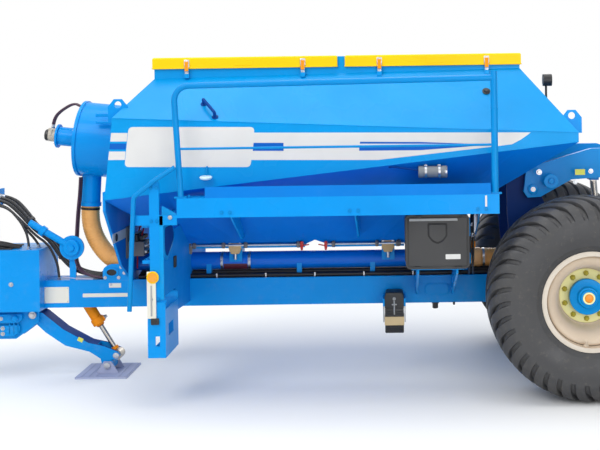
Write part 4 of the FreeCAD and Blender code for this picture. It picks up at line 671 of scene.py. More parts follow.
def wheel_rim(side, sign):
    """Rim bulge, valve stem, a black ring of painted shade in the gap, and the bead seat's lip."""
    body = side + "_wheel"
    out = Vector((0, sign, 0))
    centre = Vector((AXLE.x, sign * WHEEL_Y, AXLE.z))
    bulge = lathed([(1.176, 0.3215), (1.186, 0.3165), (1.1895, 0.306), (1.186, 0.290), (1.170, 0.268),
                    (1.140, 0.246), (1.090, 0.229), (1.020, 0.2185), (0.957, 0.2125), (0.9535, 0.209),
                    (0.9535, 0.203), (0.9505, 0.203), (0.9505, 0.214), (1.020, 0.2225), (1.090, 0.233),
                    (1.138, 0.250), (1.167, 0.272), (1.182, 0.292), (1.1855, 0.306), (1.182, 0.3125),
                    (1.173, 0.3175)], (AXLE.x, 0, AXLE.z), out, 84)
    dressed(bulge, side + "_rim_bulge", CREAM, body, 50.0)
    foot = centre + Vector((-0.048, sign * 0.262, -0.322))
    tip = centre + Vector((-0.052, sign * 0.297, -0.268))
    stem = pole(foot, foot.lerp(tip, 0.78), 0.0105, 18)
    valve_cap = pole(foot.lerp(tip, 0.74), tip, 0.0125, 18)
    clip = copied(stem, Matrix())
    clip.data.transform(Matrix.Translation(-foot))
    clip.data.transform(Matrix.Scale(1.9, 4, REAR) @ Matrix.Scale(0.35, 4, tip - foot))
    clip.data.transform(Matrix.Translation(foot))
    dressed(joined([stem, valve_cap, clip]), side + "_valve_stem", CREAM, body)
    # Painted shade: a black ring fills the gap between the rim's bulge and its lip.
    gap = hoop(1.168, 1.178, 0.3195, 0.3340, (AXLE.x, 0, AXLE.z), out, 72)
    dressed(gap, side + "_rim_gap_shade", BLACK_RUBBER_AND_SHADE, body)
    lip = lathed([(0.2835, 0.3552), (0.2835, 0.3615), (0.2785, 0.3635), (0.2765, 0.3552)],
                 (AXLE.x, sign * WHEEL_Y, AXLE.z), out, 72)
    dressed(lip, side + "_rim_lip", LIP_GREY, body, 45.0)


def make_wheel_fittings():
    """Both wheels' nuts, hubs and rims."""
    for side, sign in (("left", -1), ("right", 1)):
        wheel_nuts(side, sign)
        wheel_hub(side, sign)
        wheel_rim(side, sign)


make_tyres()
make_wheel_fittings()


# ---- Hoses -------------------------------------------------------------------------------------

PIPE_Z = 0.905


def hose_line(name, points, radius, material, body="chassis"):
    """A smooth hose through a route's control points: a bevelled curve, its radius at the points."""
    curve = bpy.data.curves.new(name, "CURVE")
    curve.dimensions = "3D"
    curve.bevel_depth = 1.0 if radius else 0.0
    curve.bevel_resolution = 5
    curve.resolution_u = 12
    curve.use_fill_caps = True
    line = curve.splines.new("NURBS")
    line.points.add(len(points) - 1)
    for spot, place in zip(line.points, points):
        spot.co = (*place, 1.0)
        spot.radius = radius
    line.order_u = 3
    line.use_endpoint_u = True
    piece = bpy.data.objects.new(name, curve)
    bpy.context.scene.collection.objects.link(piece)
    curve.materials.append(material)
    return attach(piece, body)


def line_length(piece):
    """Length of a curve's own line, in metres."""
    bevel = piece.data.bevel_depth
    piece.data.bevel_depth = 0.0
    bpy.context.view_layer.update()
    line = bpy.data.meshes.new_from_object(piece.evaluated_get(bpy.context.evaluated_depsgraph_get()))
    piece.data.bevel_depth = bevel
    total = sum((line.vertices[edge.vertices[0]].co - line.vertices[edge.vertices[1]].co).length
                for edge in line.edges)
    bpy.data.meshes.remove(line)
    return total


def hydraulic_route(index):
    """From the parked couplings over the head block, down and back along the beam's top."""
    y = 0.030 * (index - 2)
    lift = 0.014 * (index % 2)
    start = Vector((-2.3677, 2 * y, 1.44 + lift))
    return [start, start + Vector((0.09, 0, 0)), Vector((-2.17, 1.7 * y, 1.345 + lift)),
            Vector((-2.05, 1.2 * y, 1.19 + lift)), Vector((-1.92, y, 1.095 + lift)),
            Vector((-1.835, y, 0.955 + lift)), Vector((-1.73, y, 0.85 + lift / 2)),
            Vector((-1.58, y, 0.803 + lift / 4)), Vector((-1.4, y, 0.8 + lift / 4)),
            Vector((-1.2383, y, 0.8 + lift / 4))]


def make_hydraulic_hoses():
    """Five hoses from the parked couplings to the beam."""
    for index in range(5):
        route = hydraulic_route(index)
        hose = hose_line(f"hydraulic_hose_{index}", route, 0.013, HOSE_BLACK)
        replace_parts(hose, "hydraulic_hoses")
        line_length(hose)


def ribbed_tube(name, points, radius, rib, pitch, material, body="chassis", sides=40):
    """A wide hose along a route: rings of points whose radius rises at each wound rib."""
    guide = hose_line(name + "_guide", points, 0.0, material, body)
    guide.data.resolution_u = 64
    bpy.context.view_layer.update()
    line = bpy.data.meshes.new_from_object(guide.evaluated_get(bpy.context.evaluated_depsgraph_get()))
    path = [vertex.co.copy() for vertex in line.vertices]
    bpy.data.objects.remove(guide, do_unlink=True)
    reach = [0.0]
    for before, after in zip(path, path[1:]):
        reach.append(reach[-1] + (after - before).length)
    steps = int(reach[-1] / pitch) * 6

    def along(distance):
        """The place and the way ahead at a distance from the start."""
        for index in range(1, len(path)):
            if reach[index] >= distance or index == len(path) - 1:
                before, after = path[index - 1], path[index]
                share = (distance - reach[index - 1]) / max(1e-9, reach[index] - reach[index - 1])
                return before.lerp(after, share), (after - before).normalized()

    deselect()
    bpy.ops.mesh.primitive_grid_add(x_subdivisions=sides, y_subdivisions=steps, size=1.0)
    piece = bpy.context.object
    columns = sides + 1
    side_way = Vector((0, 1, 0))
    for index, vertex in enumerate(piece.data.vertices):
        row, column = divmod(index, columns)
        distance = reach[-1] * row / steps
        middle, ahead = along(distance)
        up = side_way.cross(ahead).normalized()
        turn = 2 * math.pi * column / sides
        wave = math.cos(2 * math.pi * (distance / pitch - column / sides))
        level = radius - rib + rib * max(0.0, wave) ** 2 if 0 < row < steps else radius - rib
        vertex.co = middle + (side_way * math.cos(turn) + up * math.sin(turn)) * level
    opened(piece, "EDGE")
    bpy.ops.mesh.select_all(action="SELECT")
    bpy.ops.mesh.remove_doubles(threshold=0.00002)
    bpy.ops.mesh.select_all(action="DESELECT")
    bpy.ops.mesh.select_non_manifold()
    bpy.ops.mesh.edge_face_add()
    shut(piece)
    return dressed(piece, name, material, body, 60.0)


def clamp_band(name, place, axis, radius, width=0.014, material=ZINC):
    """A worm-drive band with its screw."""
    place, axis = Vector(place), Vector(axis).normalized()
    band = hoop(-width / 2, width / 2, radius, radius + 0.0016, place, axis, 56)
    side = Vector((0, -1, 0))
    screw_at = place + side * (radius + 0.006)
    worm = pole(screw_at - axis.cross(side) * 0.017, screw_at + axis.cross(side) * 0.017, 0.0065, 12)
    return dressed(joined([band, worm]), name, material)


def make_air_hoses():
    """The ribbed hoses at the front and the rear, with their clamps and cuff."""
    duct_up = Vector((0.055, 0, 0.998))
    start = Vector((-1.6, 0, 1.3717))
    end = Vector((-1.3003, 0, PIPE_Z))
    hose = ribbed_tube("fan_air_hose", [start, start - duct_up * 0.11, (-1.572, 0, 1.12),
                                        (-1.488, 0, 0.985), end - Vector((0.085, 0, 0)), end],
                       0.0745, 0.0022, 0.021, AIR_HOSE)
    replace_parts(hose, "air_hose")
    rear = ribbed_tube("rear_ribbed_hose", [(1.6063, 0, PIPE_Z), (1.88, 0, PIPE_Z), (2.15, 0, PIPE_Z),
                                            (2.4197, 0, PIPE_Z)], 0.0745, 0.0022, 0.021, AIR_HOSE)
    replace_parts(rear, "rear_air_hose")
    clamp_band("duct_clamp", start - duct_up * 0.022, duct_up, 0.0747, 0.018, BLACK_RUBBER_AND_SHADE)
    clamp_band("pipe_clamp", end - Vector((0.022, 0, 0)), REAR, 0.0747, 0.018)
    clamp_band("rear_pipe_clamp", (1.632, 0, PIPE_Z), REAR, 0.0747, 0.018)
    cuff = lathed([(1.508, 0.0728), (1.508, 0.0765), (1.514, 0.0785), (1.598, 0.0785), (1.606, 0.0765),
                   (1.606, 0.0728)], (0, 0, PIPE_Z), REAR, 56)
    # Painted light in part: the cuff's tan is lighter than the hose's.
    dressed(cuff, "rear_hose_cuff", CUFF_TAN_AND_LIGHT)
    clamp_band("rear_cuff_clamp", (1.520, 0, PIPE_Z), REAR, 0.0787, 0.014)
    clamp_band("outlet_clamp", (2.395, 0, PIPE_Z), REAR, 0.0747, 0.018)


make_hydraulic_hoses()
make_air_hoses()


# ---- Hopper: stripes, covers and fittings ------------------------------------------------------

BELT = 1.0


def rectangle(low, high):
    """The corners of a flat rectangle, from the low one round."""
    return [(low[0], low[1]), (high[0], low[1]), (high[0], high[1]), (low[0], high[1])]


def eased(points, radius, steps=6):
    """A flat outline with its corners turned round."""
    curved = []
    for index, corner in enumerate(points):
        corner = Vector(corner)
        before, after = Vector(points[index - 1]), Vector(points[(index + 1) % len(points)])
        start = corner + (before - corner).normalized() * min(radius, (before - corner).length * 0.45)
        end = corner + (after - corner).normalized() * min(radius, (after - corner).length * 0.45)
        for step in range(steps + 1):
            share = step / steps
            curved.append(tuple(start.lerp(corner, share).lerp(corner.lerp(end, share), share)))
    return curved


def panel(low, high, radius, y, thick, round_off=0.0, segments=2):
    """A plate square to Y with round corners; its low and high corner are in (x, z)."""
    return side_plate(eased(rectangle(low, high), radius), y, thick, round_off, segments)


def stripe(name, outline, material, level=1, radius=0.0):
    """Vinyl film on the upright belt of both sides."""
    outline = eased(outline, radius) if radius else outline
    return dressed(both_sides(side_plate(outline, -BELT - 0.0001, -0.0006 * level)), name, material)


def make_stripes():
    """White band, blank panel, bars and dashes on the belt."""
    stripe("band_white", [(-0.129, 1.981), (1.920, 1.954), (1.901, 1.939), (1.849, 1.903),
                          (1.782, 1.869), (1.675, 1.857), (0.795, 1.767), (-0.154, 1.780)], WHITE)
    stripe("blank_panel", [(-1.037, 2.035), (-0.110, 2.022), (-0.144, 1.728), (-1.071, 1.741)], WHITE,
           2, 0.034)
    stripe("bar_upper", [(-1.166, 1.993), (-1.045, 1.991), (-1.052, 1.929), (-1.173, 1.930)], WHITE)
    stripe("bar_lower", [(-1.183, 1.857), (-1.062, 1.855), (-1.068, 1.793), (-1.190, 1.794)], WHITE)
    stripe("bar_middle", [(-1.176, 1.916), (-1.056, 1.914), (-1.062, 1.870), (-1.181, 1.872)],
           STRIPE_BLUE)
    stripe("dash_short", [(-0.119, 1.906), (0.101, 1.903), (0.101, 1.844), (-0.126, 1.847)],
           STRIPE_BLUE, 2)
    stripe("dash_upper", [(0.664, 1.903), (1.106, 1.895), (1.560, 1.873), (1.179, 1.881),
                          (0.662, 1.889)], STRIPE_BLUE, 2)
    stripe("dash_lower", [(0.660, 1.877), (1.179, 1.869), (1.600, 1.866), (1.341, 1.849),
                          (1.105, 1.835), (0.656, 1.837)], STRIPE_BLUE, 2)


def flank(x, z, stand_off=0.0):
    """A point on the left upper panel between belt and collar, and stood off along its normal."""
    belt_z = 2.105 - 0.0443 * (x + 1.158)
    collar_z = 2.395 + 0.016 * (x + 0.924)
    y = -BELT + (BELT - 0.62) * (z - belt_z) / (collar_z - belt_z)
    way_out = Vector((0.0, belt_z - collar_z, BELT - 0.62)).normalized()
    return Vector((x, y, z)) + way_out * stand_off


def tube(points, radius, ring=10):
    """A bent bar or pipe through its points, as a mesh with closed ends."""
    guide = hose_line("tube_guide", points, radius, BLUE)
    guide.data.bevel_resolution = ring // 2
    bpy.context.view_layer.update()
    mesh = bpy.data.meshes.new_from_object(guide.evaluated_get(bpy.context.evaluated_depsgraph_get()))
    curve = guide.data
    bpy.data.objects.remove(guide, do_unlink=True)
    bpy.data.curves.remove(curve)
    piece = bpy.data.objects.new("tube", mesh)
    bpy.context.scene.collection.objects.link(piece)
    opened(piece)
    return shut(piece)


def elbow_points(points, radius):
    """A bar's corners with a point a bend's length before and after each, for a tidy bend."""
    path = [Vector(points[0])]
    for before, corner, after in zip(points, points[1:], points[2:]):
        before, corner, after = Vector(before), Vector(corner), Vector(after)
        path += [corner + (before - corner).normalized() * radius, corner,
                 corner + (after - corner).normalized() * radius]
    return path + [Vector(points[-1])]


def make_hopper_fittings():
    """Hand grip, sight plug, belt lamp and the belt's folded edges."""
    grip = [flank(-0.505, 2.196, -0.004), flank(-0.505, 2.196, 0.05), flank(-0.405, 2.098, 0.05),
            flank(-0.405, 2.098, -0.004)]
    bar = tube(elbow_points(grip, 0.018), 0.011)
    feet = [turned([(0.0, 0.024), (0.004, 0.024), (0.007, 0.018)], flank(x, z),
                   flank(x, z, 1) - flank(x, z), 20) for x, z in ((-0.505, 2.196), (-0.405, 2.098))]
    dressed(joined([bar] + feet), "hopper_grip", DEEP_BLUE)
    plug = turned([(0.0, 0.030), (0.006, 0.030), (0.010, 0.020), (0.018, 0.019), (0.022, 0.015)],
                  flank(1.616, 2.262), flank(1.6, 2.26, 1) - flank(1.6, 2.26), 24)
    dressed(plug, "sight_plug", BLACK_PLASTIC)
    stem = tube([(-0.464, -1.0, 1.735), (-0.464, -1.012, 1.735), (-0.464, -1.022, 1.725),
                 (-0.464, -1.022, 1.672)], 0.006)
    dressed(stem, "belt_lamp_stem", RAIL_BLUE)
    lamp = lathed([(-0.012, 0.0), (-0.012, 0.022), (-0.006, 0.030), (0.006, 0.033), (0.012, 0.028),
                   (0.016, 0.0)], (-0.469, -1.030, 1.655), (0, -0.25, 0.97), 28)
    stretched(lamp, (1.45, 0.85, 1.0), (-0.469, -1.030, 1.655))
    dressed(lamp, "belt_lamp", PALE_LENS)
    seam = [side_plate([(-1.158, 2.105), (2.274, 1.953), (2.274, 1.9465), (-1.158, 2.0985)], -BELT,
                       -0.004, 0.0015, 1),
            side_plate([(-1.2246, 1.5035), (2.274, 1.8845), (2.274, 1.878), (-1.2253, 1.497)], -BELT,
                       -0.004, 0.0015, 1)]
    dressed(both_sides(joined(seam)), "belt_folds", HOPPER_BLUE)


def make_canister():
    """Moulded document tube with its caps, straps and a hasp, and the lever ahead of it."""
    y, z = -0.987, 1.674
    barrel = turned([(1.101, 0.041), (1.106, 0.0425), (1.262, 0.0425), (1.262, 0.0448), (1.296, 0.0448),
                     (1.303, 0.040)], (0, y, z), REAR, 40)
    cap = turned([(1.089, 0.036), (1.093, 0.0445), (1.124, 0.0445)], (0, y, z), REAR, 16)
    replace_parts(dressed(joined([barrel, cap]), "document_tube", CANISTER_GREY), "document_canister")
    straps = [hoop(x - 0.009, x + 0.009, 0.043, 0.0462, (0, y, z), REAR, 40) for x in (1.145, 1.245)]
    brackets = [block((x - 0.012, y + 0.02, z + 0.03), (x + 0.012, -0.925, z + 0.052), 0.003)
                for x in (1.145, 1.245)]
    hasp = block((1.283, y - 0.05, z - 0.012), (1.301, y - 0.042, z + 0.012), 0.003)
    dressed(joined(straps + brackets + [hasp]), "tube_straps", ZINC)
    rod = tube([(0.885, -0.98, 1.716), (0.96, -0.99, 1.706), (1.074, -0.987, 1.690),
                (1.092, -0.987, 1.684)], 0.007)
    knob = turned([(-0.012, 0.008), (-0.006, 0.012), (0.010, 0.012), (0.014, 0.007)],
                  (0.885, -0.98, 1.716), (-1, 0, 0.1), 16)
    dressed(joined([rod, knob]), "tube_lever", DEEP_BLUE)


def make_latches():
    """Over-centre latches on the covers: base, ears, orange lever, wire bail and keeper hook."""
    for cover, body, places in (("front", "front_cover", (-0.671, 0.220)),
                                ("rear", "rear_cover", (0.808, 1.631))):
        y = -0.640
        base = block((-0.020, y - 0.003, 2.482), (0.020, y, 2.538), 0.001)
        ears = [block((x - 0.0015, y - 0.014, 2.490), (x + 0.0015, y - 0.002, 2.526), 0.0008)
                for x in (-0.0165, 0.0165)]
        pin = pole((-0.019, y - 0.010, 2.514), (0.019, y - 0.010, 2.514), 0.003, 12)
        screws = [hexagon((x, y - 0.003, z), LEFT, 0.008, 0.003) for x in (-0.012, 0.012)
                  for z in (2.487, 2.533)]
        bail = tube(elbow_points([(-0.013, y - 0.0125, 2.506), (-0.013, y - 0.0125, 2.447),
                                  (0.013, y - 0.0125, 2.447), (0.013, y - 0.0125, 2.506)], 0.006), 0.0026)
        metal = repeated(joined([base] + ears + [pin, bail] + screws),
                         [Matrix.Translation((x, 0, 0)) for x in places])
        lever = cut_plate([(-0.014, y - 0.006, 2.524), (-0.014, y - 0.015, 2.519),
                           (-0.014, y - 0.0155, 2.470), (-0.014, y - 0.0205, 2.452),
                           (-0.014, y - 0.0185, 2.450), (-0.014, y - 0.0125, 2.468),
                           (-0.014, y - 0.011, 2.512)], (0.028, 0, 0), 0.0015, 2)
        levers = repeated(lever, [Matrix.Translation((x, 0, 0)) for x in places])
        dressed(metal, cover + "_latch_metal", ZINC, body)
        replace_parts(dressed(levers, cover + "_latch_levers", ORANGE, body), cover + "_lid_latches")
        hooks = [joined([block((x - 0.014, y - 0.012, 2.436), (x + 0.014, y - 0.006, 2.444), 0.0015),
                         block((x - 0.014, y - 0.008, 2.404), (x + 0.014, y - 0.002, 2.443), 0.001)])
                 for x in places]
        dressed(joined(hooks), cover + "_latch_hooks", ZINC)


def make_lid_trim():
    """A hem round each cover's foot, pressed pads on its side and ribs across its top."""
    for cover, body, front, rear, pads in (("front", "front_cover", -0.936, 0.485, ((-0.307, -0.165),)),
                                           ("rear", "rear_cover", 0.543, 1.896, ((1.165, 1.297),))):
        edge = [(front, -0.64), (rear, -0.64), (rear, 0.64), (front, 0.64)]
        rims = []
        for (x0, y0), (x1, y1) in zip(edge, edge[1:] + edge[:1]):
            low = (min(x0, x1) - 0.003, min(y0, y1) - 0.003, 2.468)
            high = (max(x0, x1) + 0.003, max(y0, y1) + 0.003, 2.479)
            rims.append(block(low, high, 0.0025))
        dressed(joined(rims), cover + "_cover_hem", YELLOW, body)
        raised = [panel((x0, 2.488), (x1, 2.534), 0.010, -0.640, -0.0025, 0.001, 1) for x0, x1 in pads]
        dressed(joined(raised), cover + "_cover_pads", YELLOW, body)
        ribs = [block((x - 0.016, -0.60, 2.5545), (x + 0.016, 0.60, 2.5562), 0.0007, 1)
                for x in (front + 0.30, (front + rear) / 2, rear - 0.30)]
        dressed(joined(ribs), cover + "_cover_ribs", YELLOW, body)


make_stripes()
make_hopper_fittings()
make_canister()
make_latches()
make_lid_trim()


# ---- Fan, hose bundle and beam -----------------------------------------------------------------

BEAM_SIDE = -0.125
GUARD_HOLE = (-1.400, -0.128, 0.838)
FAN_LEAN = math.radians(6.29)
FAN_FOOT = Vector((-1.1832, 0.0, 1.876))
FAN_AXIS = Vector((-math.cos(FAN_LEAN), 0.0, math.sin(FAN_LEAN)))


def fan_place(out, up=0.0, side=0.0):
    """A point out along the fan's axis, up square to it, and sideways."""
    above = Vector((FAN_AXIS.z, 0.0, -FAN_AXIS.x))
    return FAN_FOOT + FAN_AXIS * out + above * up + Vector((0, side, 0))


def fan_turns(count, first):
    """Moves that carry a piece round the fan's axis in even steps, from a first angle in degrees."""
    return [Matrix.Translation(FAN_FOOT) @ Matrix.Rotation(math.radians(first + 360 / count * index), 4,
                                                           FAN_AXIS) @ Matrix.Translation(-FAN_FOOT)
            for index in range(count)]


def make_fan_rim():
    """Rim bolts, seams and motor flange of the fan."""
    bolt = hexagon(fan_place(0.478, 0.286), FAN_AXIS, 0.013, 0.009, 0.002)
    dressed(repeated(bolt, fan_turns(12, 15)), "fan_rim_bolts", ZINC)
    seams = [lathed([(out - 0.004, radius), (out - 0.002, radius + 0.003), (out + 0.002, radius + 0.003),
                     (out + 0.004, radius)], FAN_FOOT, FAN_AXIS, 64)
             for out, radius in ((0.452, 0.3), (0.012, 0.3), (0.482, 0.077))]
    crease = [lathed([(0.4775, radius), (0.4775, radius + 0.012), (0.4812, radius + 0.008),
                      (0.4812, radius + 0.004)], FAN_FOOT, FAN_AXIS, 64) for radius in (0.10, 0.155, 0.21)]
    flange = turned([(0.668, 0.096), (0.671, 0.098), (0.682, 0.098), (0.685, 0.096)], FAN_FOOT, FAN_AXIS,
                    40)
    dressed(joined(seams + crease + [flange]), "fan_seams", BLUE)


def make_fan_motor():
    """Cast hydraulic motor with its flange bolts, end cap and unions."""
    nut = hexagon(fan_place(0.685, 0.082), FAN_AXIS, 0.015, 0.010, 0.002)
    dressed(repeated(nut, fan_turns(4, 45)), "motor_flange_bolts", ZINC)
    casting = turned([(0.684, 0.056), (0.696, 0.058), (0.700, 0.050), (0.752, 0.050), (0.755, 0.046)],
                     FAN_FOOT, FAN_AXIS, 28)
    rib = block((-0.006, -0.054, 0.0), (0.006, 0.054, 0.05), 0.002)
    lean = Matrix.Translation(fan_place(0.728)) @ Matrix.Rotation(FAN_LEAN, 4, "Y")
    rib.data.transform(lean)
    port_block = block((-0.030, -0.036, 0.030), (0.030, 0.036, 0.060), 0.005)
    port_block.data.transform(lean)
    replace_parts(dressed(joined([casting, port_block, rib]), "motor_casting", CAST_BEIGE), "fan_motor")
    cap = turned([(0.752, 0.047), (0.776, 0.047), (0.784, 0.040)], FAN_FOOT, FAN_AXIS, 28)
    dressed(cap, "motor_end_cap", BLACK_PLASTIC)
    unions = []
    for side in (-0.018, 0.018):
        unions += [hexagon(fan_place(0.728, 0.058, side), UP, 0.024, 0.016, 0.003),
                   pole(fan_place(0.728, 0.070, side), fan_place(0.728, 0.094, side), 0.0085, 16)]
    unions.append(hexagon(fan_place(0.478, 0.255, -0.05), FAN_AXIS, 0.03, 0.02, 0.004))
    dressed(joined(unions), "motor_unions", ZINC)


def make_fan_bars():
    """Two bars along the fan's left side."""
    bars = [block((-1.46, -0.335, height - thick / 2), (-1.17, -0.305, height + thick / 2), 0.004)
            for height, thick in ((2.119, 0.030), (2.062, 0.022))]
    dressed(joined(bars), "fan_side_bars", BLUE)


def declared_hose(name, route, radius, material):
    """A free hose that goes back into the machine at its far end."""
    hose = hose_line(name, route, radius, material)
    line_length(hose)


def make_extra_hoses():
    """The fan motor's drive hoses, and the thinner lines that run with the main bundle."""
    for index, side in enumerate((-0.018, 0.018)):
        port = fan_place(0.728, 0.092, side)
        declared_hose(f"fan_drive_hose_{index}",
                      [port, port + Vector((0.01, 0, 0.055)), port + Vector((0.075, -0.02, 0.115)),
                       fan_place(0.56, 0.285, side - 0.05), fan_place(0.50, 0.262, side * 0.6 - 0.06),
                       fan_place(0.479, 0.255, side * 0.6 - 0.05)], 0.0095, PURPLE_HOSE)
    for index, (y, floor_y, lean) in enumerate(((-0.100, -0.083, 0.0), (-0.122, -0.101, 0.010))):
        declared_hose(f"fan_return_hose_{index}",
                      [(-1.640 - lean, y, 1.615), (-1.646 - lean, y, 1.50),
                       (-1.664 - lean, y - 0.004, 1.34), (-1.676 - lean, y - 0.004, 1.18),
                       (-1.684 - lean, y, 1.03), (-1.690 - lean, y, 0.93),
                       (-1.65 - lean, (y + floor_y) / 2, 0.842), (-1.56, floor_y, 0.800),
                       (-1.44, floor_y, 0.787), (-1.3, floor_y, 0.787)], 0.009, PURPLE_HOSE)


def make_lower_lines():
    """Four thinner hoses from the rack's lower row, with their couplings and unions."""
    rack = -2.3677
    routes = (
        [(rack, -0.145, 1.398), (-2.28, -0.150, 1.398), (-2.17, -0.168, 1.335), (-2.09, -0.185, 1.220),
         (-2.055, -0.190, 1.130), (-2.052, -0.190, 1.060)],
        [(rack, -0.115, 1.398), (-2.27, -0.115, 1.395), (-2.14, -0.105, 1.270), (-2.03, -0.098, 1.145),
         (-1.93, -0.094, 1.075), (-1.875, -0.092, 0.970), (-1.845, -0.092, 0.880), (-1.840, -0.092, 0.794)],
        [(rack, -0.050, 1.398), (-2.28, -0.050, 1.385), (-2.19, -0.055, 1.290), (-2.11, -0.060, 1.180),
         (-2.04, -0.065, 1.110), (-2.010, -0.070, 1.060)],
        [(rack, 0.130, 1.398), (-2.27, 0.128, 1.395), (-2.14, 0.115, 1.260), (-2.04, 0.100, 1.130),
         (-1.93, 0.094, 1.060), (-1.85, 0.090, 0.950), (-1.74, 0.088, 0.850), (-1.58, 0.086, 0.800),
         (-1.40, 0.086, 0.795), (-1.2383, 0.086, 0.795)])
    metal = []
    for index, route in enumerate(routes):
        declared_hose(f"lower_line_{index}", route, 0.010, HOSE_BLACK)
        x, y, z = route[0]
        metal += [hexagon((x + 0.0015, y, z), REAR, 0.026, 0.022, 0.003),
                  pole((x + 0.022, y, z), (x + 0.040, y, z), 0.0125, 16)]
    metal += [hexagon((-2.052, -0.190, 1.042), UP, 0.030, 0.024, 0.004),
              hexagon((-1.840, -0.092, 0.776), UP, 0.030, 0.024, 0.004),
              hexagon((-2.010, -0.070, 1.042), UP, 0.030, 0.024, 0.004)]
    dressed(joined(metal), "lower_line_couplings", ZINC)


def make_bundle_ties():
    """Flattened ties round the hose bundle."""
    for index, (place, axis, half) in enumerate((((-2.10, 0.0, 1.262), (0.62, 0, -0.78), 0.088),
                                                 ((-1.835, 0.0, 0.958), (0.55, 0, -0.83), 0.078),
                                                 ((-1.50, 0.0, 0.806), REAR, 0.076))):
        axis = Vector(axis).normalized()
        strap = hoop(-0.011, 0.011, half, half + 0.003, place, axis, 40)
        opened(strap)
        bpy.ops.mesh.select_all(action="SELECT")
        above = Vector((0, 1, 0)).cross(axis).normalized()
        mesh = bmesh.from_edit_mesh(strap.data)
        for vertex in mesh.verts:
            offset = vertex.co - Vector(place)
            vertex.co -= above * offset.dot(above) * 0.68
        bmesh.update_edit_mesh(strap.data)
        shut(strap)
        dressed(strap, f"bundle_tie_{index}", BLACK_RUBBER_AND_SHADE)


def make_rack_couplings():
    """The couplings parked on the rack, with their dust caps."""
    couplings = []
    for index in range(5):
        y = 0.060 * (index - 2)
        z = 1.44 + 0.014 * (index % 2)
        couplings += [hexagon((-2.366, y, z), REAR, 0.034, 0.026, 0.004),
                      pole((-2.342, y, z), (-2.318, y, z), 0.0165, 18),
                      turned([(0.0, 0.020), (0.020, 0.021), (0.026, 0.017), (0.034, 0.0165)],
                             (-2.392, y, z), FRONT, 20)]
    dressed(joined(couplings), "parked_couplings", ZINC)
    caps = [turned([(0.0, 0.0225), (0.020, 0.0225), (0.026, 0.018)],
                   (-2.424, 0.060 * (index - 2), 1.44 + 0.014 * (index % 2)), FRONT, 20)
            for index in range(5)]
    for index, cap in enumerate(caps):
        dressed(cap, f"dust_cap_{index}", (CAP_RED, CAP_BLUE, CAP_RED, CAP_BLUE, BLACK_PLASTIC)[index])


def make_carrier_collars():
    """The hose carrier's collar and end boss."""
    ring = [hoop(-0.02, 0.02, 0.034, 0.042, (-1.953, -0.135, 1.183), (0.80, 0, -0.60), 28),
            turned([(0.0, 0.062), (0.006, 0.066), (0.014, 0.066), (0.018, 0.060), (0.018, 0.030),
                    (0.030, 0.026)], (-1.719, -0.1485, 1.045), LEFT, 32)]
    dressed(joined(ring), "carrier_collars", BLUE)


def make_head_mat():
    """Mat and two loose loops on the head block."""
    black = [block((-2.44, -0.20, 1.030), (-2.19, 0.12, 1.052), 0.008),
             tube([(-2.46, -0.16, 1.062), (-2.38, -0.17, 1.090), (-2.28, -0.15, 1.076),
                   (-2.20, -0.13, 1.056), (-2.15, -0.12, 1.045)], 0.016),
             tube([(-2.50, -0.10, 1.066), (-2.40, -0.09, 1.094), (-2.30, -0.07, 1.082),
                   (-2.20, -0.05, 1.052), (-2.16, -0.04, 1.045)], 0.016)]
    dressed(joined(black), "head_block_mat", BLACK_RUBBER_AND_SHADE)


def beam_plate(name, low, high, material, radius=0.006, thick=0.002):
    """A blank plate on the beam's left side; its corners are in (x, z)."""
    return dressed(panel(low, high, radius, BEAM_SIDE - 0.0001, -thick, 0.0006, 1), name, material)


def make_beam_plates():
    """Blank plates and their rivets."""
    beam_plate("blank_data_plate", (-1.954, 0.594), (-1.752, 0.724), PLATE_CREAM)
    rivets = [lathed([(0.0, 0.0), (0.0, 0.005), (0.002, 0.004), (0.0028, 0.0)], (x, -0.127, z), LEFT, 12)
              for x in (-1.944, -1.762) for z in (0.604, 0.714)]
    dressed(joined(rivets), "plate_rivets", ZINC)
    beam_plate("blank_small_plate", (-1.425, 0.713), (-1.327, 0.749), PLATE_CREAM, 0.004, 0.0015)
    beam_plate("blank_strip", (-1.640, 0.638), (-1.272, 0.668), PLATE_CREAM, 0.004, 0.0015)


def make_bundle_guard():
    """Guard plate over the hose bundle, with its long hole; the hole is a black disc of painted shade on
    the plate.
    """
    lug = side_plate(eased([(-1.475, 0.776), (-1.220, 0.776), (-1.220, 0.860), (-1.26, 0.905),
                            (-1.42, 0.905), (-1.475, 0.870)], 0.03), -0.128, 0.016)
    hole = hoop(0.0, 0.010, 0.026, 0.036, GUARD_HOLE, LEFT, 32)
    stretched(hole, (1.55, 1.0, 1.0), GUARD_HOLE)
    dressed(joined([rounded(lug, 0.003, 2), hole]), "bundle_guard", BLUE)
    # Painted shade: a thin black disc stands in for the depth of the hole.
    dark = turned([(0.0, 0.0262), (0.0015, 0.0262)], (-1.400, -0.1282, 0.838), LEFT, 32)
    stretched(dark, (1.55, 1.0, 1.0), GUARD_HOLE)
    dressed(dark, "guard_hole_shade", BLACK_RUBBER_AND_SHADE)


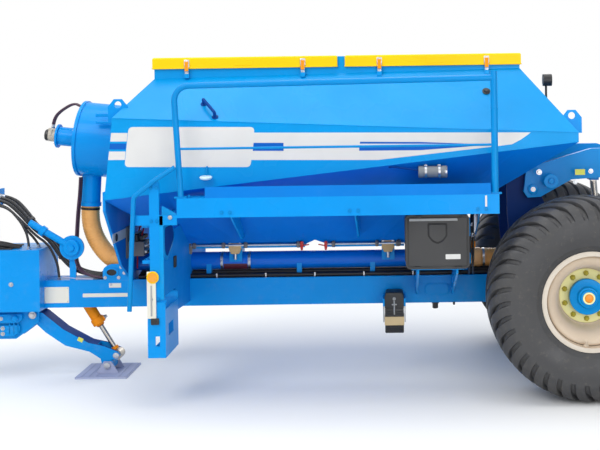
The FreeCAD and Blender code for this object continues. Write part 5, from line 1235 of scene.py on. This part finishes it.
def make_beam_covers():
    """Bolts, inspection cover and drain plug."""
    bolts = [hexagon((x, -0.128, z), LEFT, 0.019, 0.012, 0.003)
             for x, z in ((-1.325, 0.880), (-1.275, 0.868), (-1.245, 0.835), (-1.300, 0.832),
                          (-1.255, 0.795), (-1.345, 0.795), (-1.455, 0.795))]
    bolts += [hexagon((-1.409, -0.125, 0.738), LEFT, 0.016, 0.010, 0.002),
              hexagon((-2.179, -0.250, 0.769), LEFT, 0.026, 0.018, 0.004)]
    dressed(joined(bolts), "beam_bolts", ZINC)
    cover = eased(rectangle((1.140, 0.615), (1.349, 0.715)), 0.049, 10)
    raised = side_plate(cover, BEAM_SIDE, -0.0035, 0.0015, 2)
    groove = side_plate(eased(rectangle((1.152, 0.627), (1.337, 0.703)), 0.037, 10), -0.1285, -0.0015,
                        0.0008, 1)
    dressed(joined([raised, groove]), "inspection_cover", BLUE)
    plug = [turned([(0.0, 0.030), (0.010, 0.030), (0.012, 0.024), (0.046, 0.024), (0.050, 0.018)],
                   (1.228, -0.105, 0.556), DOWN, 6),
            pole((1.38, -0.118, 0.562), (1.38, -0.118, 0.535), 0.009, 14)]
    dressed(joined(plug), "drain_plug", BLACK_PLASTIC)


def make_conduits():
    """Weld runs, and the conduits with their clips; the black conduits sit high, so that they also stand as
    painted shade in the gap under the air pipe.
    """
    beads = [pole((-1.95, side * 0.1245, 0.7755), (2.715, side * 0.1245, 0.7755), 0.0035, 8)
             for side in (-1, 1)]
    dressed(joined(beads), "beam_weld_runs", BLUE)
    loom = []
    # Black hoses, set high so that they also give painted shade between the air pipe and the beam.
    for index, (y, z) in enumerate(((-0.092, 0.794), (-0.058, 0.795), (-0.024, 0.811), (0.030, 0.811))):
        loom.append(tube([(-1.19, y, z), (-0.6, y + 0.004 * (-1) ** index, z), (0.1, y, z),
                          (0.8, y - 0.003, z), (1.5, y, z), (1.75, y + 0.02, z)], 0.0165))
    dressed(joined(loom), "beam_conduits", HOSE_BLACK)
    clips = []
    for x in (-0.95, -0.55, -0.15, 0.25, 0.65, 1.05):
        clips.append(block((x - 0.006, -0.114, 0.776), (x + 0.006, -0.036, 0.779), 0.001))
        clips.append(block((x - 0.005, -0.1125, 0.778), (x + 0.005, -0.1095, 0.812), 0.001))
        clips.append(hexagon((x, -0.1125, 0.808), LEFT, 0.010, 0.005, 0.002))
    dressed(joined(clips), "conduit_clips", ZINC)


make_fan_rim()
make_fan_motor()
make_fan_bars()
make_extra_hoses()
make_lower_lines()
make_bundle_ties()
make_rack_couplings()
make_carrier_collars()
make_head_mat()
make_beam_plates()
make_bundle_guard()
make_beam_covers()
make_conduits()


# ---- Under the hopper: metering, valve block, toolbox and chock --------------------------------

def make_meter_drives():
    """Cast drop housings, and hex shafts with their bearings."""
    housings, metal, levers = [], [], []
    for x, shaft in ((-0.397, (-0.777, 0.173)), (0.849, (0.354, 0.981))):
        housings.append(cut_plate([(x - 0.050, -0.082, 1.082), (x + 0.050, -0.082, 1.082),
                                   (x + 0.054, -0.082, 1.060), (x + 0.050, -0.082, 1.010),
                                   (x + 0.032, -0.082, 0.972), (x - 0.032, -0.082, 0.972),
                                   (x - 0.050, -0.082, 1.010), (x - 0.054, -0.082, 1.060)],
                                  (0, -0.044, 0), 0.006, 3))
        housings.append(block((x - 0.056, -0.130, 1.078), (x + 0.056, -0.080, 1.090), 0.003))
        metal.append(pole((x, -0.104, 0.976), (x, -0.104, 0.925), 0.013, 20))
        metal += [hexagon((x + side * 0.040, -0.126, 1.064), LEFT, 0.013, 0.008, 0.002)
                  for side in (-1, 1)]
        metal.append(hexagon((x, -0.105, 1.090), UP, 0.032, 0.030, 0.006))
        metal.append(lathed([(shaft[0], 0.0), (shaft[0], 0.0105), (shaft[1], 0.0105), (shaft[1], 0.0)],
                            (0, -0.134, 1.046), REAR, 6))
        for place in (shaft[0] + 0.052, x - 0.09, x + 0.09, shaft[1] - 0.052):
            levers.append(turned([(place - 0.014, 0.020), (place - 0.008, 0.026), (place + 0.008, 0.026),
                                  (place + 0.014, 0.020)], (0, -0.134, 1.046), REAR, 24))
    dressed(joined(housings), "drop_housings", HOUSING_TAN)
    dressed(joined(metal), "meter_shafts", ZINC)
    dressed(joined(levers), "shaft_bearings", CAST_GREY)


def make_cranks():
    """The two calibration cranks."""
    cranks = []
    for x, turn in ((0.150, 1), (0.345, -1)):
        plate = side_plate(eased([(x - 0.012, 1.072), (x + 0.012, 1.072), (x + 0.013, 1.030),
                                  (x + 0.008, 0.998), (x - 0.008, 0.998), (x - 0.013, 1.030)], 0.006),
                           -0.150, -0.006, 0.0015, 2)
        cranks += [plate, pole((x, -0.148, 1.066), (x, -0.176, 1.066), 0.007, 14),
                   pole((x - 0.004, -0.153, 1.034), (x + turn * 0.06, -0.153, 1.046), 0.005, 12)]
    dressed(joined(cranks), "calibration_cranks", CAP_RED)


def make_pipe_bands():
    """Bands round the air pipe, and its blank label."""
    bands = []
    for x in (-0.790, -0.515, -0.290, 1.05):
        bands.append(hoop(-0.011, 0.011, 0.0724, 0.0746, (x, 0, PIPE_Z), REAR, 48))
        bands.append(block((x - 0.009, -0.092, 0.898), (x + 0.009, -0.072, 0.912), 0.002))
        bands.append(hexagon((x, -0.082, 0.912), UP, 0.014, 0.008, 0.002))
    dressed(joined(bands), "pipe_bands", ZINC)
    label = hoop(-0.5, -0.305, 0.0726, 0.0734, (0, 0, PIPE_Z), REAR, 48)
    opened(label)
    pick_faces(label, lambda middle, normal: middle.z > 0.882 or middle.y > 0)
    bpy.ops.mesh.delete(type="FACE")
    shut(label)
    dressed(label, "blank_pipe_label", LABEL_MAROON)


def make_shaft_end():
    """Bracket at the shaft's front end."""
    ends = [side_plate(eased([(-0.790, 0.978), (-0.744, 0.978), (-0.740, 1.040), (-0.760, 1.078),
                              (-0.788, 1.078)], 0.008), -0.128, -0.008, 0.002, 2),
            hexagon((-0.765, -0.136, 1.034), LEFT, 0.034, 0.016, 0.004),
            hexagon((-0.765, -0.136, 0.998), LEFT, 0.016, 0.010, 0.002)]
    dressed(joined(ends), "shaft_end_bracket", CAST_GREY)


def make_valve_block():
    """Valve block on the bulkhead, with its coils, plugs and pipe stubs."""
    body = joined([block((-1.218, -0.40, 0.985), (-1.205, -0.16, 1.235), 0.004),
                   block((-1.206, -0.385, 1.000), (-1.075, -0.185, 1.115), 0.006)])
    dressed(body, "valve_body", CAST_GREY)
    coils, plugs, metal = [], [], []
    for index in range(4):
        y = -0.36 + 0.05 * index
        coils.append(turned([(0.0, 0.021), (0.004, 0.024), (0.052, 0.024), (0.056, 0.019),
                             (0.064, 0.016)], (-1.140, y, 1.115), UP, 24))
        plugs.append(block((-1.116, y - 0.013, 1.128), (-1.086, y + 0.013, 1.160), 0.004))
        metal.append(hexagon((-1.140, y, 1.178), UP, 0.018, 0.010, 0.002))
        metal.append(hexagon((-1.075, y, 1.035), REAR, 0.024, 0.018, 0.003))
        metal.append(hexagon((-1.075, y, 1.082), REAR, 0.018, 0.012, 0.003))
    dressed(joined(coils + plugs), "valve_coils", BLACK_PLASTIC)
    dressed(joined(metal), "valve_fittings", ZINC)
    looms = [tube([(-1.057, -0.36 + 0.05 * index, 1.035), (-1.025, -0.36 + 0.05 * index, 1.032),
                   (-1.010, -0.34 + 0.045 * index, 0.99), (-1.012, -0.30 + 0.04 * index, 0.92),
                   (-1.03, -0.24 + 0.03 * index, 0.85), (-1.06, -0.18 + 0.02 * index, 0.806),
                   (-1.12, -0.12 + 0.012 * index, 0.795)], 0.009) for index in range(4)]
    dressed(joined(looms), "valve_pipes", HOSE_BLACK)
    lead = tube([(-1.101, -0.36, 1.150), (-1.09, -0.34, 1.20), (-1.10, -0.28, 1.235), (-1.12, -0.2, 1.24),
                 (-1.16, -0.14, 1.22), (-1.19, -0.1, 1.14), (-1.2, -0.09, 1.0), (-1.2, -0.09, 0.86)], 0.006)
    dressed(lead, "valve_loom", CAP_RED)


# front, rear, foot and top of the toolbox
TOOLBOX = (0.988, 1.457, 0.963, 1.364)


def hollowed(piece, wall, depth):
    """Sink the face that looks to the left side by a depth, inside an even wall."""
    opened(piece, "FACE")
    pick_faces(piece, lambda middle, normal: normal.y < -0.9)
    bpy.ops.mesh.inset(thickness=wall)
    bpy.ops.mesh.extrude_region_move(TRANSFORM_OT_translate={"value": (0, depth, 0)})
    return shut(piece)


def make_toolbox_shell():
    """Moulded box with rounded corners and ribs."""
    x0, x1, z0, z1 = TOOLBOX
    shell = side_plate(eased(rectangle((x0, z0), (x1, z1)), 0.042, 7), -0.650, -0.386)
    hollowed(shell, 0.006, 0.378)
    ribs = [block((x0 + 0.006 + 0.066 * index, -1.000, z1 - 0.0025),
                  (x0 + 0.030 + 0.066 * index, -0.68, z1 + 0.004), 0.0018, 1) for index in range(1, 7)]
    back = [block((x1 - 0.003, -0.98 + 0.075 * index, z0 + 0.05),
                  (x1 + 0.004, -0.955 + 0.075 * index, z1 - 0.05), 0.0018, 1) for index in range(5)]
    front = [copied(rib, Matrix.Translation((x0 - x1 - 0.001, 0, 0))) for rib in back]
    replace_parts(dressed(joined([shell] + ribs + back + front), "moulded_box", BOX_GREY), "toolbox")


def make_toolbox_door():
    """Door with a sunk border, blank shield, grip, label and catches."""
    x0, x1, z0, z1 = TOOLBOX
    door = side_plate(eased(rectangle((x0, z0 + 0.003), (x1, z1)), 0.042, 7), -1.036, -0.010)
    opened(door, "FACE")
    pick_faces(door, lambda middle, normal: normal.y < -0.9)
    bpy.ops.mesh.inset(thickness=0.012)
    bpy.ops.mesh.extrude_region_move(TRANSFORM_OT_translate={"value": (0, 0.005, 0)})
    bpy.ops.mesh.inset(thickness=0.010)
    bpy.ops.mesh.extrude_region_move(TRANSFORM_OT_translate={"value": (0, -0.009, 0)})
    bpy.ops.mesh.inset(thickness=0.004)
    shut(door)
    rounded(door, 0.0016, 2, 35.0)
    shield = side_plate(eased([(1.151, 1.302), (1.295, 1.302), (1.295, 1.206), (1.262, 1.165),
                               (1.223, 1.148), (1.184, 1.165), (1.151, 1.206)], 0.012, 4), -1.0485,
                        -0.0035, 0.0014, 2)
    inner = side_plate(eased([(1.163, 1.290), (1.283, 1.290), (1.283, 1.210), (1.255, 1.177),
                              (1.223, 1.163), (1.191, 1.177), (1.163, 1.210)], 0.010, 4), -1.0518,
                       -0.0022, 0.001, 1)
    knuckles = [pole((x, -1.043, z0 + 0.012), (x + 0.05, -1.043, z0 + 0.012), 0.0095, 16)
                for x in (x0 + 0.06, x1 - 0.11)]
    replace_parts(dressed(joined([door, inner] + knuckles), "moulded_door", BOX_GREY, "tool_door"),
                "toolbox_door")
    dressed(shield, "door_shield", BLACK_RUBBER_AND_SHADE, "tool_door")
    strip = side_plate(eased([(x0 + 0.028, 1.318), (x1 - 0.084, 1.318), (x1 - 0.088, 1.336),
                              (x0 + 0.032, 1.336)], 0.006), -1.0495, -0.0035, 0.0012, 2)
    dressed(strip, "door_grip_strip", STRIP_GREY, "tool_door")
    label = panel((1.280, 1.037), (1.389, 1.073), 0.004, -1.0500, -0.0008)
    dressed(label, "blank_door_label", WHITE, "tool_door")
    catches = []
    for x in (x0 + 0.10, x1 - 0.046):
        catches += [block((x - 0.016, -1.056, z1 - 0.022), (x + 0.016, -1.048, z1 - 0.006), 0.003),
                    pole((x - 0.021, -1.052, z1 - 0.006), (x + 0.021, -1.052, z1 - 0.006), 0.006, 14)]
    dressed(joined(catches), "door_catches", BLACK_PLASTIC, "tool_door")


def make_box_side():
    """Brake lines with their bracket, fittings and filter between the toolbox and the wheel."""
    lines = [tube([(1.50 + 0.035 * index, -0.20, 0.80), (1.49 + 0.03 * index, -0.40, 0.84),
                   (1.480 + 0.024 * index, -0.62, 0.93), (1.482 + 0.022 * index, -0.74, 1.06),
                   (1.485 + 0.02 * index, -0.70, 1.22), (1.51 + 0.01 * index, -0.5, 1.36),
                   (1.60, -0.30, 1.40)], 0.009) for index in range(2)]
    dressed(joined(lines), "brake_lines", HOSE_BLACK)
    post = joined([block((1.472, -0.72, 0.955), (1.484, -0.60, 1.30), 0.003),
                   block((1.456, -0.70, 1.10), (1.474, -0.62, 1.14), 0.003)])
    dressed(post, "line_bracket", BLUE)
    metal = [hexagon((1.484, -0.66, z), REAR, 0.026, 0.020, 0.004) for z in (1.01, 1.09, 1.24)]
    metal += [pole((1.50, -0.66, 1.00), (1.50, -0.66, 1.26), 0.007, 14),
              turned([(0.0, 0.024), (0.03, 0.028), (0.036, 0.020), (0.05, 0.019)], (1.500, -0.69, 1.14),
                     (0, -0.2, 1), 24)]
    dressed(joined(metal), "line_fittings", ZINC)
    dressed(turned([(0.0, 0.020), (0.004, 0.023), (0.045, 0.023), (0.050, 0.018)], (1.500, -0.69, 1.075),
                   (0, -0.2, 1), 24), "line_filter", ORANGE)


def make_chock():
    """Wheel chock in its holder: ribbed black wedge, pale band, spring clips and a rivet."""
    x0, x1 = 0.820, 0.970
    wedge = panel((x0, 0.352), (x1, 0.560), 0.010, -0.150, -0.172, 0.005, 2)
    head = side_plate(eased([(x0 - 0.002, 0.545), (x1 + 0.002, 0.545), (x1 + 0.002, 0.640),
                             (x1 - 0.010, 0.675), (x0 + 0.010, 0.675), (x0 - 0.002, 0.640)], 0.014),
                      -0.147, -0.178, 0.006, 3)
    ribs = [block((x0 + 0.012, -0.3265, z), (x1 - 0.012, -0.318, z + 0.006), 0.002, 1)
            for z in (0.366, 0.384, 0.402, 0.500, 0.518)]
    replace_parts(dressed(joined([wedge, head] + ribs), "chock_wedge", BLACK_PLASTIC), "wheel_chock")
    band = panel((x0 - 0.003, 0.414), (x1 + 0.003, 0.482), 0.006, -0.148, -0.178, 0.003, 2)
    dressed(band, "chock_band", BAND_TAN)
    clips = [block((x - 0.004, -0.331, 0.440), (x + 0.004, -0.200, 0.560), 0.002)
             for x in (x0 - 0.010, x1 + 0.010)]
    clips += [block((x0 + 0.055, -0.333, 0.575), (x1 - 0.055, -0.324, 0.585), 0.002),
              pole((0.895, -0.329, 0.50), (0.895, -0.329, 0.61), 0.006, 12),
              hexagon((0.895, -0.325, 0.625), LEFT, 0.018, 0.010, 0.003)]
    dressed(joined(clips), "chock_clips", STRIP_GREY)


make_meter_drives()
make_cranks()
make_pipe_bands()
make_shaft_end()
make_valve_block()
make_toolbox_shell()
make_toolbox_door()
make_box_side()
make_chock()


# ---- Access, arms and rear ------------------------------------------------------------------------

def step_treads(front, z, pitch, shift):
    """Two staggered rows of raised buttons on one ladder step."""
    button = lathed([(0, 0.009), (0.003, 0.008), (0.0045, 0.005), (0.0045, 0.0)], (0, 0, 0), UP, 10)
    return repeated(button,
                    [Matrix.Translation((front + pitch * column + (0.0 if row % 2 else shift),
                                         -1.145 + 0.044 * row, z)) for row in range(9)
                     for column in range(2)])


def make_ladder_trim():
    """Welds, bolts and treads of both ladders, the folding one's pin, and the deck's gusset."""
    welds, bolts, treads = [], [], []
    for z in (1.050, 1.310):
        for y in (-1.170, -0.770):
            welds.append(tube([(-0.848, y + (0.002 if y < -1 else -0.002), z), (-0.815, y, z - 0.001),
                               (-0.783, y + (0.002 if y < -1 else -0.002), z)], 0.0032, ring=6))
        treads.append(step_treads(-0.890, z + 0.025, 0.055, 0.014))
    for z in (0.80, 1.36, 1.60):
        for x in (-0.835, -0.795):
            bolts.append(hexagon((x, -1.200, z), LEFT, 0.019, 0.011, 0.0035))
    dressed(joined(welds + treads), "ladder_welds", BLUE)
    dressed(joined(bolts), "ladder_bolts", RAIL_BLUE)
    lower = [step_treads(-0.862, z, 0.045, 0.012) for z in (0.410, 0.672)]
    dressed(joined(lower), "lower_step_treads", BLUE, "lower_ladder")
    dressed(hexagon((-0.808, -0.740, 0.735), RIGHT, 0.030, 0.014, 0.004), "ladder_pins", ZINC,
            "lower_ladder")
    gusset = side_plate([(-0.760, 1.402), (-0.654, 1.402), (-0.654, 1.412), (-0.748, 1.466),
                         (-0.760, 1.466)], -1.196, -0.006, 0.0015, 2)
    dressed(gusset, "deck_gusset", RAIL_BLUE)
    dressed(hexagon((-0.700, -1.203, 1.386), LEFT, 0.022, 0.012, 0.003), "gusset_bolt", ZINC)


def make_marker_strip():
    """Long pale strip down the ladder's outer edge, its amber lens in a ring, a dark foot."""
    strip = panel((-0.872, 0.662), (-0.807, 1.000), 0.006, -1.206, -0.005, 0.0015, 2)
    rib = side_plate([(-0.846, 0.680), (-0.834, 0.680), (-0.834, 0.900), (-0.846, 0.900)], -1.211, -0.003,
                     0.0012, 1)
    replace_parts(dressed(strip, "marker_strip", PLATE_CREAM), "marker_plate")
    dressed(rib, "marker_rib", STRIP_GREY)
    lens_disc = lathed([(0.0, 0.0), (0.0, 0.037), (0.005, 0.037), (0.009, 0.034), (0.011, 0.022),
                        (0.012, 0.0)], (-0.828, -1.212, 0.958), LEFT, 40)
    ring = lathed([(0.0, 0.036), (0.0, 0.044), (0.006, 0.044), (0.009, 0.041), (0.009, 0.036)],
                  (-0.828, -1.211, 0.958), LEFT, 40)
    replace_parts(dressed(lens_disc, "reflector_lens", AMBER), "amber_reflector")
    dressed(ring, "reflector_ring", YELLOW)
    foot = joined([block((-0.846, -1.216, 0.618), (-0.788, -1.203, 0.664), 0.004),
                   hexagon((-0.817, -1.216, 0.641), LEFT, 0.018, 0.007, 0.002)])
    dressed(foot, "marker_foot", BLACK_PLASTIC)


def make_crossframe_trim():
    """Bent rim, access opening and latch on the rear face of the front cross frame; the opening is a thin
    dark blue plate of painted shade.
    """
    x = -0.7645
    opening = eased([(-1.135, 1.305), (-0.860, 1.300), (-0.800, 1.200), (-1.060, 1.080), (-1.135, 1.140)],
                    0.05, 6)
    rim_line = eased([(-1.160, 1.330), (-0.840, 1.325), (-0.765, 1.190), (-1.050, 1.045), (-1.160, 1.120)],
                     0.065, 6)
    rim = cut_plate([(x, y, z) for y, z in rim_line], (0.010, 0, 0), 0.003, 2)
    # Painted shade: a thin dark plate stands in for the depth of the opening.
    opening_shade = cut_plate([(x + 0.0095, y, z) for y, z in opening], (0.0015, 0, 0))
    dressed(rim, "crossframe_rim", HOPPER_BLUE)
    dressed(opening_shade, "crossframe_opening_shade", DEEP_BLUE)
    dressed(block((x, -0.790, 0.965), (x + 0.016, -0.730, 1.050), 0.004), "crossframe_latch", BLACK_PLASTIC)
    flange = [block((-0.781, -1.200, 0.795), (x + 0.014, -1.185, 1.400), 0.003),
              block((x, -1.190, 1.388), (x + 0.014, -0.200, 1.402), 0.003)]
    dressed(joined(flange), "crossframe_flange", HOPPER_BLUE)


def make_deck_trim():
    """Raised tread buttons on the deck, rail feet bolts and a small white mark."""
    button = lathed([(0, 0.011), (0.0025, 0.010), (0.0035, 0.006), (0.0035, 0.0)], (0, 0, 0), UP, 8)
    places = [Matrix.Translation((-0.62 + 0.06 * column,
                                  -1.165 + 0.05 * row + (0.025 if column % 2 else 0.0), 1.520))
              for column in range(38) for row in range(4)]
    dressed(repeated(button, places), "deck_buttons", RAIL_BLUE)
    bolts = [hexagon((x + side * 0.032, -1.165, 1.532), UP, 0.018, 0.010, 0.003) for x in (-0.600, 1.600)
             for side in (-1, 1)]
    for x in (-0.300, 0.620, 1.540):
        bolts += [hexagon((x + side * 0.030, -1.202, 1.415), LEFT, 0.020, 0.009, 0.003)
                  for side in (-1, 1)]
    dressed(joined(bolts), "deck_bolts", RAIL_BLUE)
    mark = panel((1.563, 1.432), (1.577, 1.512), 0.003, -1.2008, -0.0012)
    dressed(mark, "fascia_mark", WHITE)


def make_arm_trim():
    """Ring bosses, bolts, pivot caps and a blank sticker on the lift arms."""
    metal, rings = [], []
    for side in (-1, 1):
        y = side * 0.6385
        rings.append(lathed([(0.0, 0.030), (0.0, 0.056), (0.010, 0.056), (0.014, 0.052), (0.014, 0.030)],
                            (2.114, y, 1.568), (0, side, 0), 36))
        rings.append(hexagon((2.114, y, 1.568), (0, side, 0), 0.046, 0.018, 0.005))
        metal += [hexagon((2.023, y, 1.638), (0, side, 0), 0.030, 0.014, 0.004),
                  hexagon((2.300, y, 1.560), (0, side, 0), 0.026, 0.012, 0.004),
                  hexagon((2.420, y, 1.640), (0, side, 0), 0.026, 0.012, 0.004)]
    dressed(joined(rings), "arm_rings", BLUE, "rear_arms")
    dressed(joined(metal), "arm_bolts", ZINC, "rear_arms")
    pins = [lathed([(0.0, 0.0), (0.0, 0.036), (0.004, 0.038), (0.010, 0.036), (0.013, 0.024), (0.014, 0.0)],
                   (1.985, side * 0.552, 1.500), (0, side, 0), 32) for side in (-1, 1)]
    dressed(joined(pins), "arm_pin_caps", BLUE)
    nuts = [hexagon((1.985, side * 0.565, 1.500), (0, side, 0), 0.026, 0.010, 0.003) for side in (-1, 1)]
    dressed(joined(nuts), "arm_pin_nuts", ZINC)
    label = panel((2.300, 1.612), (2.376, 1.656), 0.004, -0.6388, -0.0008)
    dressed(label, "blank_arm_label", LABEL_LIME, "rear_arms")


def make_leg_cylinder():
    """The leg's cylinder barrel with stepped ends, gland and ports, and the rod's orange collar."""
    base, eye = Vector((-1.690, 0.0, 0.650)), Vector((-1.386, 0.0, 0.150))
    along = (eye - base).normalized()
    outline = [(0.0, 0.0), (0.0, 0.034), (0.030, 0.034), (0.036, 0.046), (0.042, 0.049), (0.072, 0.049),
               (0.076, 0.044), (0.236, 0.044), (0.240, 0.052), (0.244, 0.054), (0.292, 0.054),
               (0.296, 0.051), (0.296, 0.034), (0.306, 0.034), (0.310, 0.030), (0.310, 0.0)]
    barrel = lathed(outline, base, along, 44, 0.0015)
    ring = lathed([(-0.058, 0.0225), (-0.058, 0.035), (-0.055, 0.038), (0.055, 0.038), (0.058, 0.035),
                   (0.058, 0.0225)], base, RIGHT, 36)
    across = along.cross(Vector((0, 1, 0)))
    ports = [turned([(0.0, 0.018), (0.020, 0.018), (0.022, 0.015)], base + along * spot + across * 0.042,
                    across, 20) for spot in (0.060, 0.268)]
    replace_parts(dressed(joined([barrel, ring] + ports), "stepped_leg_barrel", ORANGE, "leg_barrel"),
                "leg_cylinder_barrel")
    unions = [hexagon(base + along * spot + across * 0.064, across, 0.026, 0.020, 0.003)
              for spot in (0.060, 0.268)]
    dressed(joined(unions), "leg_barrel_unions", ZINC, "leg_barrel")
    dressed(lathed([(0.308, 0.0202), (0.308, 0.027), (0.315, 0.025), (0.315, 0.0202)], base, along, 32),
            "leg_rod_gland", BLACK_RUBBER_AND_SHADE, "leg_barrel")
    dressed(lathed([(0.516, 0.0202), (0.516, 0.026), (0.520, 0.030), (0.540, 0.030), (0.544, 0.026),
                    (0.544, 0.0202)], base, along, 32), "leg_rod_collar", ORANGE, "leg_rod")


def make_leg_trim():
    """Pivot and eye caps and a blank label on the leg, and ribs on the foot."""
    caps = []
    for side in (-1, 1):
        caps.append(lathed([(0.0, 0.0), (0.0, 0.030), (0.003, 0.032), (0.008, 0.032), (0.012, 0.028),
                            (0.012, 0.020), (0.022, 0.017), (0.024, 0.0)], (-2.050, side * 0.125, 0.500),
                           (0, side, 0), 32))
    dressed(joined(caps), "leg_pivot_caps", ZINC)
    low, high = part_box("parking_leg")
    eyes = []
    for side, face in ((-1, low[1]), (1, high[1])):
        eyes.append(lathed([(0.0, 0.0), (0.0, 0.024), (0.004, 0.026), (0.008, 0.024), (0.014, 0.0)],
                           (-1.386, side * 0.0845, 0.150), (0, side, 0), 28))
        eyes.append(lathed([(0.0, 0.0), (0.0, 0.025), (0.004, 0.027), (0.008, 0.025), (0.012, 0.0)],
                           (-1.453, face, 0.075), (0, side, 0), 28))
    dressed(joined(eyes), "leg_eye_caps", ZINC, "leg")
    label = side_plate(eased([(-1.703, 0.279), (-1.663, 0.260), (-1.649, 0.290), (-1.689, 0.309)], 0.004),
                       -0.0846, -0.0008)
    dressed(label, "blank_leg_label", LABEL_LIME, "leg")
    tread = [block((-1.650 + 0.060 * index, -0.236, 0.0135), (-1.630 + 0.060 * index, 0.236, 0.0175),
                   0.0015, 1) for index in range(7) if index not in (3, 4)]
    dressed(joined(tread), "foot_ribs", PALE_STEEL, "foot")


def make_bracket_trim():
    """Raised casting, bump, bolts and ribs on the near cheek of the leg's bracket, and a parked lever."""
    raised = [side_plate(eased([(-2.480, 0.440), (-2.165, 0.440), (-2.130, 0.470), (-2.130, 0.512),
                                (-2.480, 0.512)], 0.012), -0.125, -0.022, 0.005, 3),
              side_plate(eased([(-2.470, 0.330), (-2.200, 0.330), (-2.150, 0.372), (-2.150, 0.420),
                                (-2.470, 0.420)], 0.020), -0.125, -0.014, 0.005, 3),
              turned([(0.0, 0.026), (0.026, 0.026), (0.032, 0.020)], (-2.185, -0.140, 0.478), LEFT, 28)]
    raised += [block((x, -0.139, 0.345), (x + 0.010, -0.125, 0.436), 0.003)
               for x in (-2.240, -2.205, -2.172)]
    dressed(joined(raised), "bracket_casting", BLUE)
    metal = [hexagon((x, -0.1385, z), LEFT, 0.024, 0.013, 0.004)
             for x, z in ((-2.290, 0.396), (-2.290, 0.352), (-2.430, 0.375))]
    metal += [hexagon((x, -0.1465, 0.476), LEFT, 0.022, 0.012, 0.004) for x in (-2.300, -2.420)]
    dressed(joined(metal), "bracket_bolts", ZINC)
    lever = joined([tube([(-1.805, -0.119, 0.806), (-1.74, -0.119, 0.797), (-1.65, -0.119, 0.788),
                          (-1.555, -0.119, 0.7835)], 0.0062),
                    block((-1.700, -0.124, 0.776), (-1.684, -0.113, 0.800), 0.002)])
    dressed(lever, "parked_lever", PALE_STEEL)


def make_bulkhead_sign():
    """Blank pale sign with a black button on the bulkhead's rear face."""
    sign = cut_plate([(-1.2178, y, z) for y, z in eased(rectangle((-0.80, 1.150), (-0.27, 1.225)),
                                                        0.012)], (0.003, 0, 0), 0.001, 1)
    dressed(sign, "blank_bulkhead_sign", PLATE_CREAM)
    dressed(lathed([(0.0, 0.0), (0.0, 0.030), (0.006, 0.028), (0.008, 0.0)], (-1.2148, -0.70, 1.188),
                   REAR, 28), "sign_button", BLACK_RUBBER_AND_SHADE)


make_leg_cylinder()
make_leg_trim()
make_bracket_trim()
make_bulkhead_sign()
make_ladder_trim()
make_marker_strip()
make_crossframe_trim()
make_deck_trim()
make_arm_trim()


# ---- Studio ------------------------------------------------------------------------------------

def studio_floor():
    """Pale floor that thins out to white."""
    deselect()
    bpy.ops.mesh.primitive_plane_add(size=240.0, location=(0, 0, 0))
    floor = bpy.context.object
    floor.name = "studio_floor"
    pale = Finish("floor_pale", (0.89, 0.875, 0.85, 1.0), 0.9)
    far = pale.add("ShaderNodeVectorMath")
    far.operation = "LENGTH"
    pale.link(pale.place, far.inputs[0])
    rays = pale.add("ShaderNodeLightPath")
    white = pale.add("ShaderNodeEmission")
    fade = pale.add("ShaderNodeMixShader")
    pale.link(pale.product(pale.ramp(far.outputs["Value"], 3.5, 9.0), rays.outputs["Is Camera Ray"]),
              fade.inputs["Fac"])
    pale.link(pale.shader.outputs[0], fade.inputs[1])
    pale.link(white.outputs[0], fade.inputs[2])
    pale.link(fade.outputs[0], pale.tree.nodes["Material Output"].inputs["Surface"])
    floor.data.materials.append(pale.material)


def studio_world():
    """Cool light from all round that looks white to the eye."""
    world = bpy.data.worlds.new("studio")
    bpy.context.scene.world = world
    world.use_nodes = True
    tree = world.node_tree
    background = tree.nodes["Background"]
    background.inputs["Color"].default_value = (0.84, 0.91, 1.0, 1.0)
    background.inputs["Strength"].default_value = 0.68
    seen = tree.nodes.new("ShaderNodeBackground")
    seen.inputs["Color"].default_value = (1.0, 1.0, 1.0, 1.0)
    rays = tree.nodes.new("ShaderNodeLightPath")
    shown = rays.outputs["Is Camera Ray"]
    for kind in ("Is Glossy Ray", "Is Transmission Ray"):
        either = tree.nodes.new("ShaderNodeMath")
        either.operation = "MAXIMUM"
        tree.links.new(shown, either.inputs[0])
        tree.links.new(rays.outputs[kind], either.inputs[1])
        shown = either.outputs[0]
    mix = tree.nodes.new("ShaderNodeMixShader")
    tree.links.new(shown, mix.inputs["Fac"])
    tree.links.new(background.outputs[0], mix.inputs[1])
    tree.links.new(seen.outputs[0], mix.inputs[2])
    tree.links.new(mix.outputs[0], tree.nodes["World Output"].inputs["Surface"])


def studio_lamps():
    """Four soft lamps."""
    for name, place, size, power, target in (
            ("key", (-5.0, -9.0, 9.0), 6.0, 590.0, (0, 0, 1.2)),
            ("fill", (4.5, -10.0, 2.2), 6.0, 320.0, (0.6, 0, 0.9)),
            ("sky", (0.0, -1.0, 11.0), 8.0, 560.0, (0, 0, 1.0)),
            ("back", (2.0, 10.0, 7.0), 6.0, 300.0, (0, 0, 1.0))):
        lamp = bpy.data.objects.new(name, bpy.data.lights.new(name, "AREA"))
        lamp.data.size = size
        lamp.data.energy = power
        lamp.location = place
        lamp.rotation_euler = (Vector(target) - Vector(place)).to_track_quat("-Z", "Y").to_euler()
        bpy.context.scene.collection.objects.link(lamp)


def camera():
    """Level view along +Y from the left side, the frame shifted down and to the front."""
    eye = bpy.data.cameras.new("view")
    eye.sensor_width = 36.0
    eye.lens = 67.2
    eye.shift_x = -0.1639
    eye.shift_y = -0.2056
    lens_object = bpy.data.objects.new("view", eye)
    lens_object.location = (0.95, -9.24, 2.194)
    lean = -0.014
    lens_object.rotation_euler = (Matrix.Rotation(math.radians(90), 4, "X")
                                  @ Matrix.Rotation(lean, 4, "Z")).to_euler()
    bpy.context.scene.collection.objects.link(lens_object)
    bpy.context.scene.camera = lens_object


studio_floor()
studio_world()
studio_lamps()
camera()
bpy.context.scene.view_settings.view_transform = "Standard"
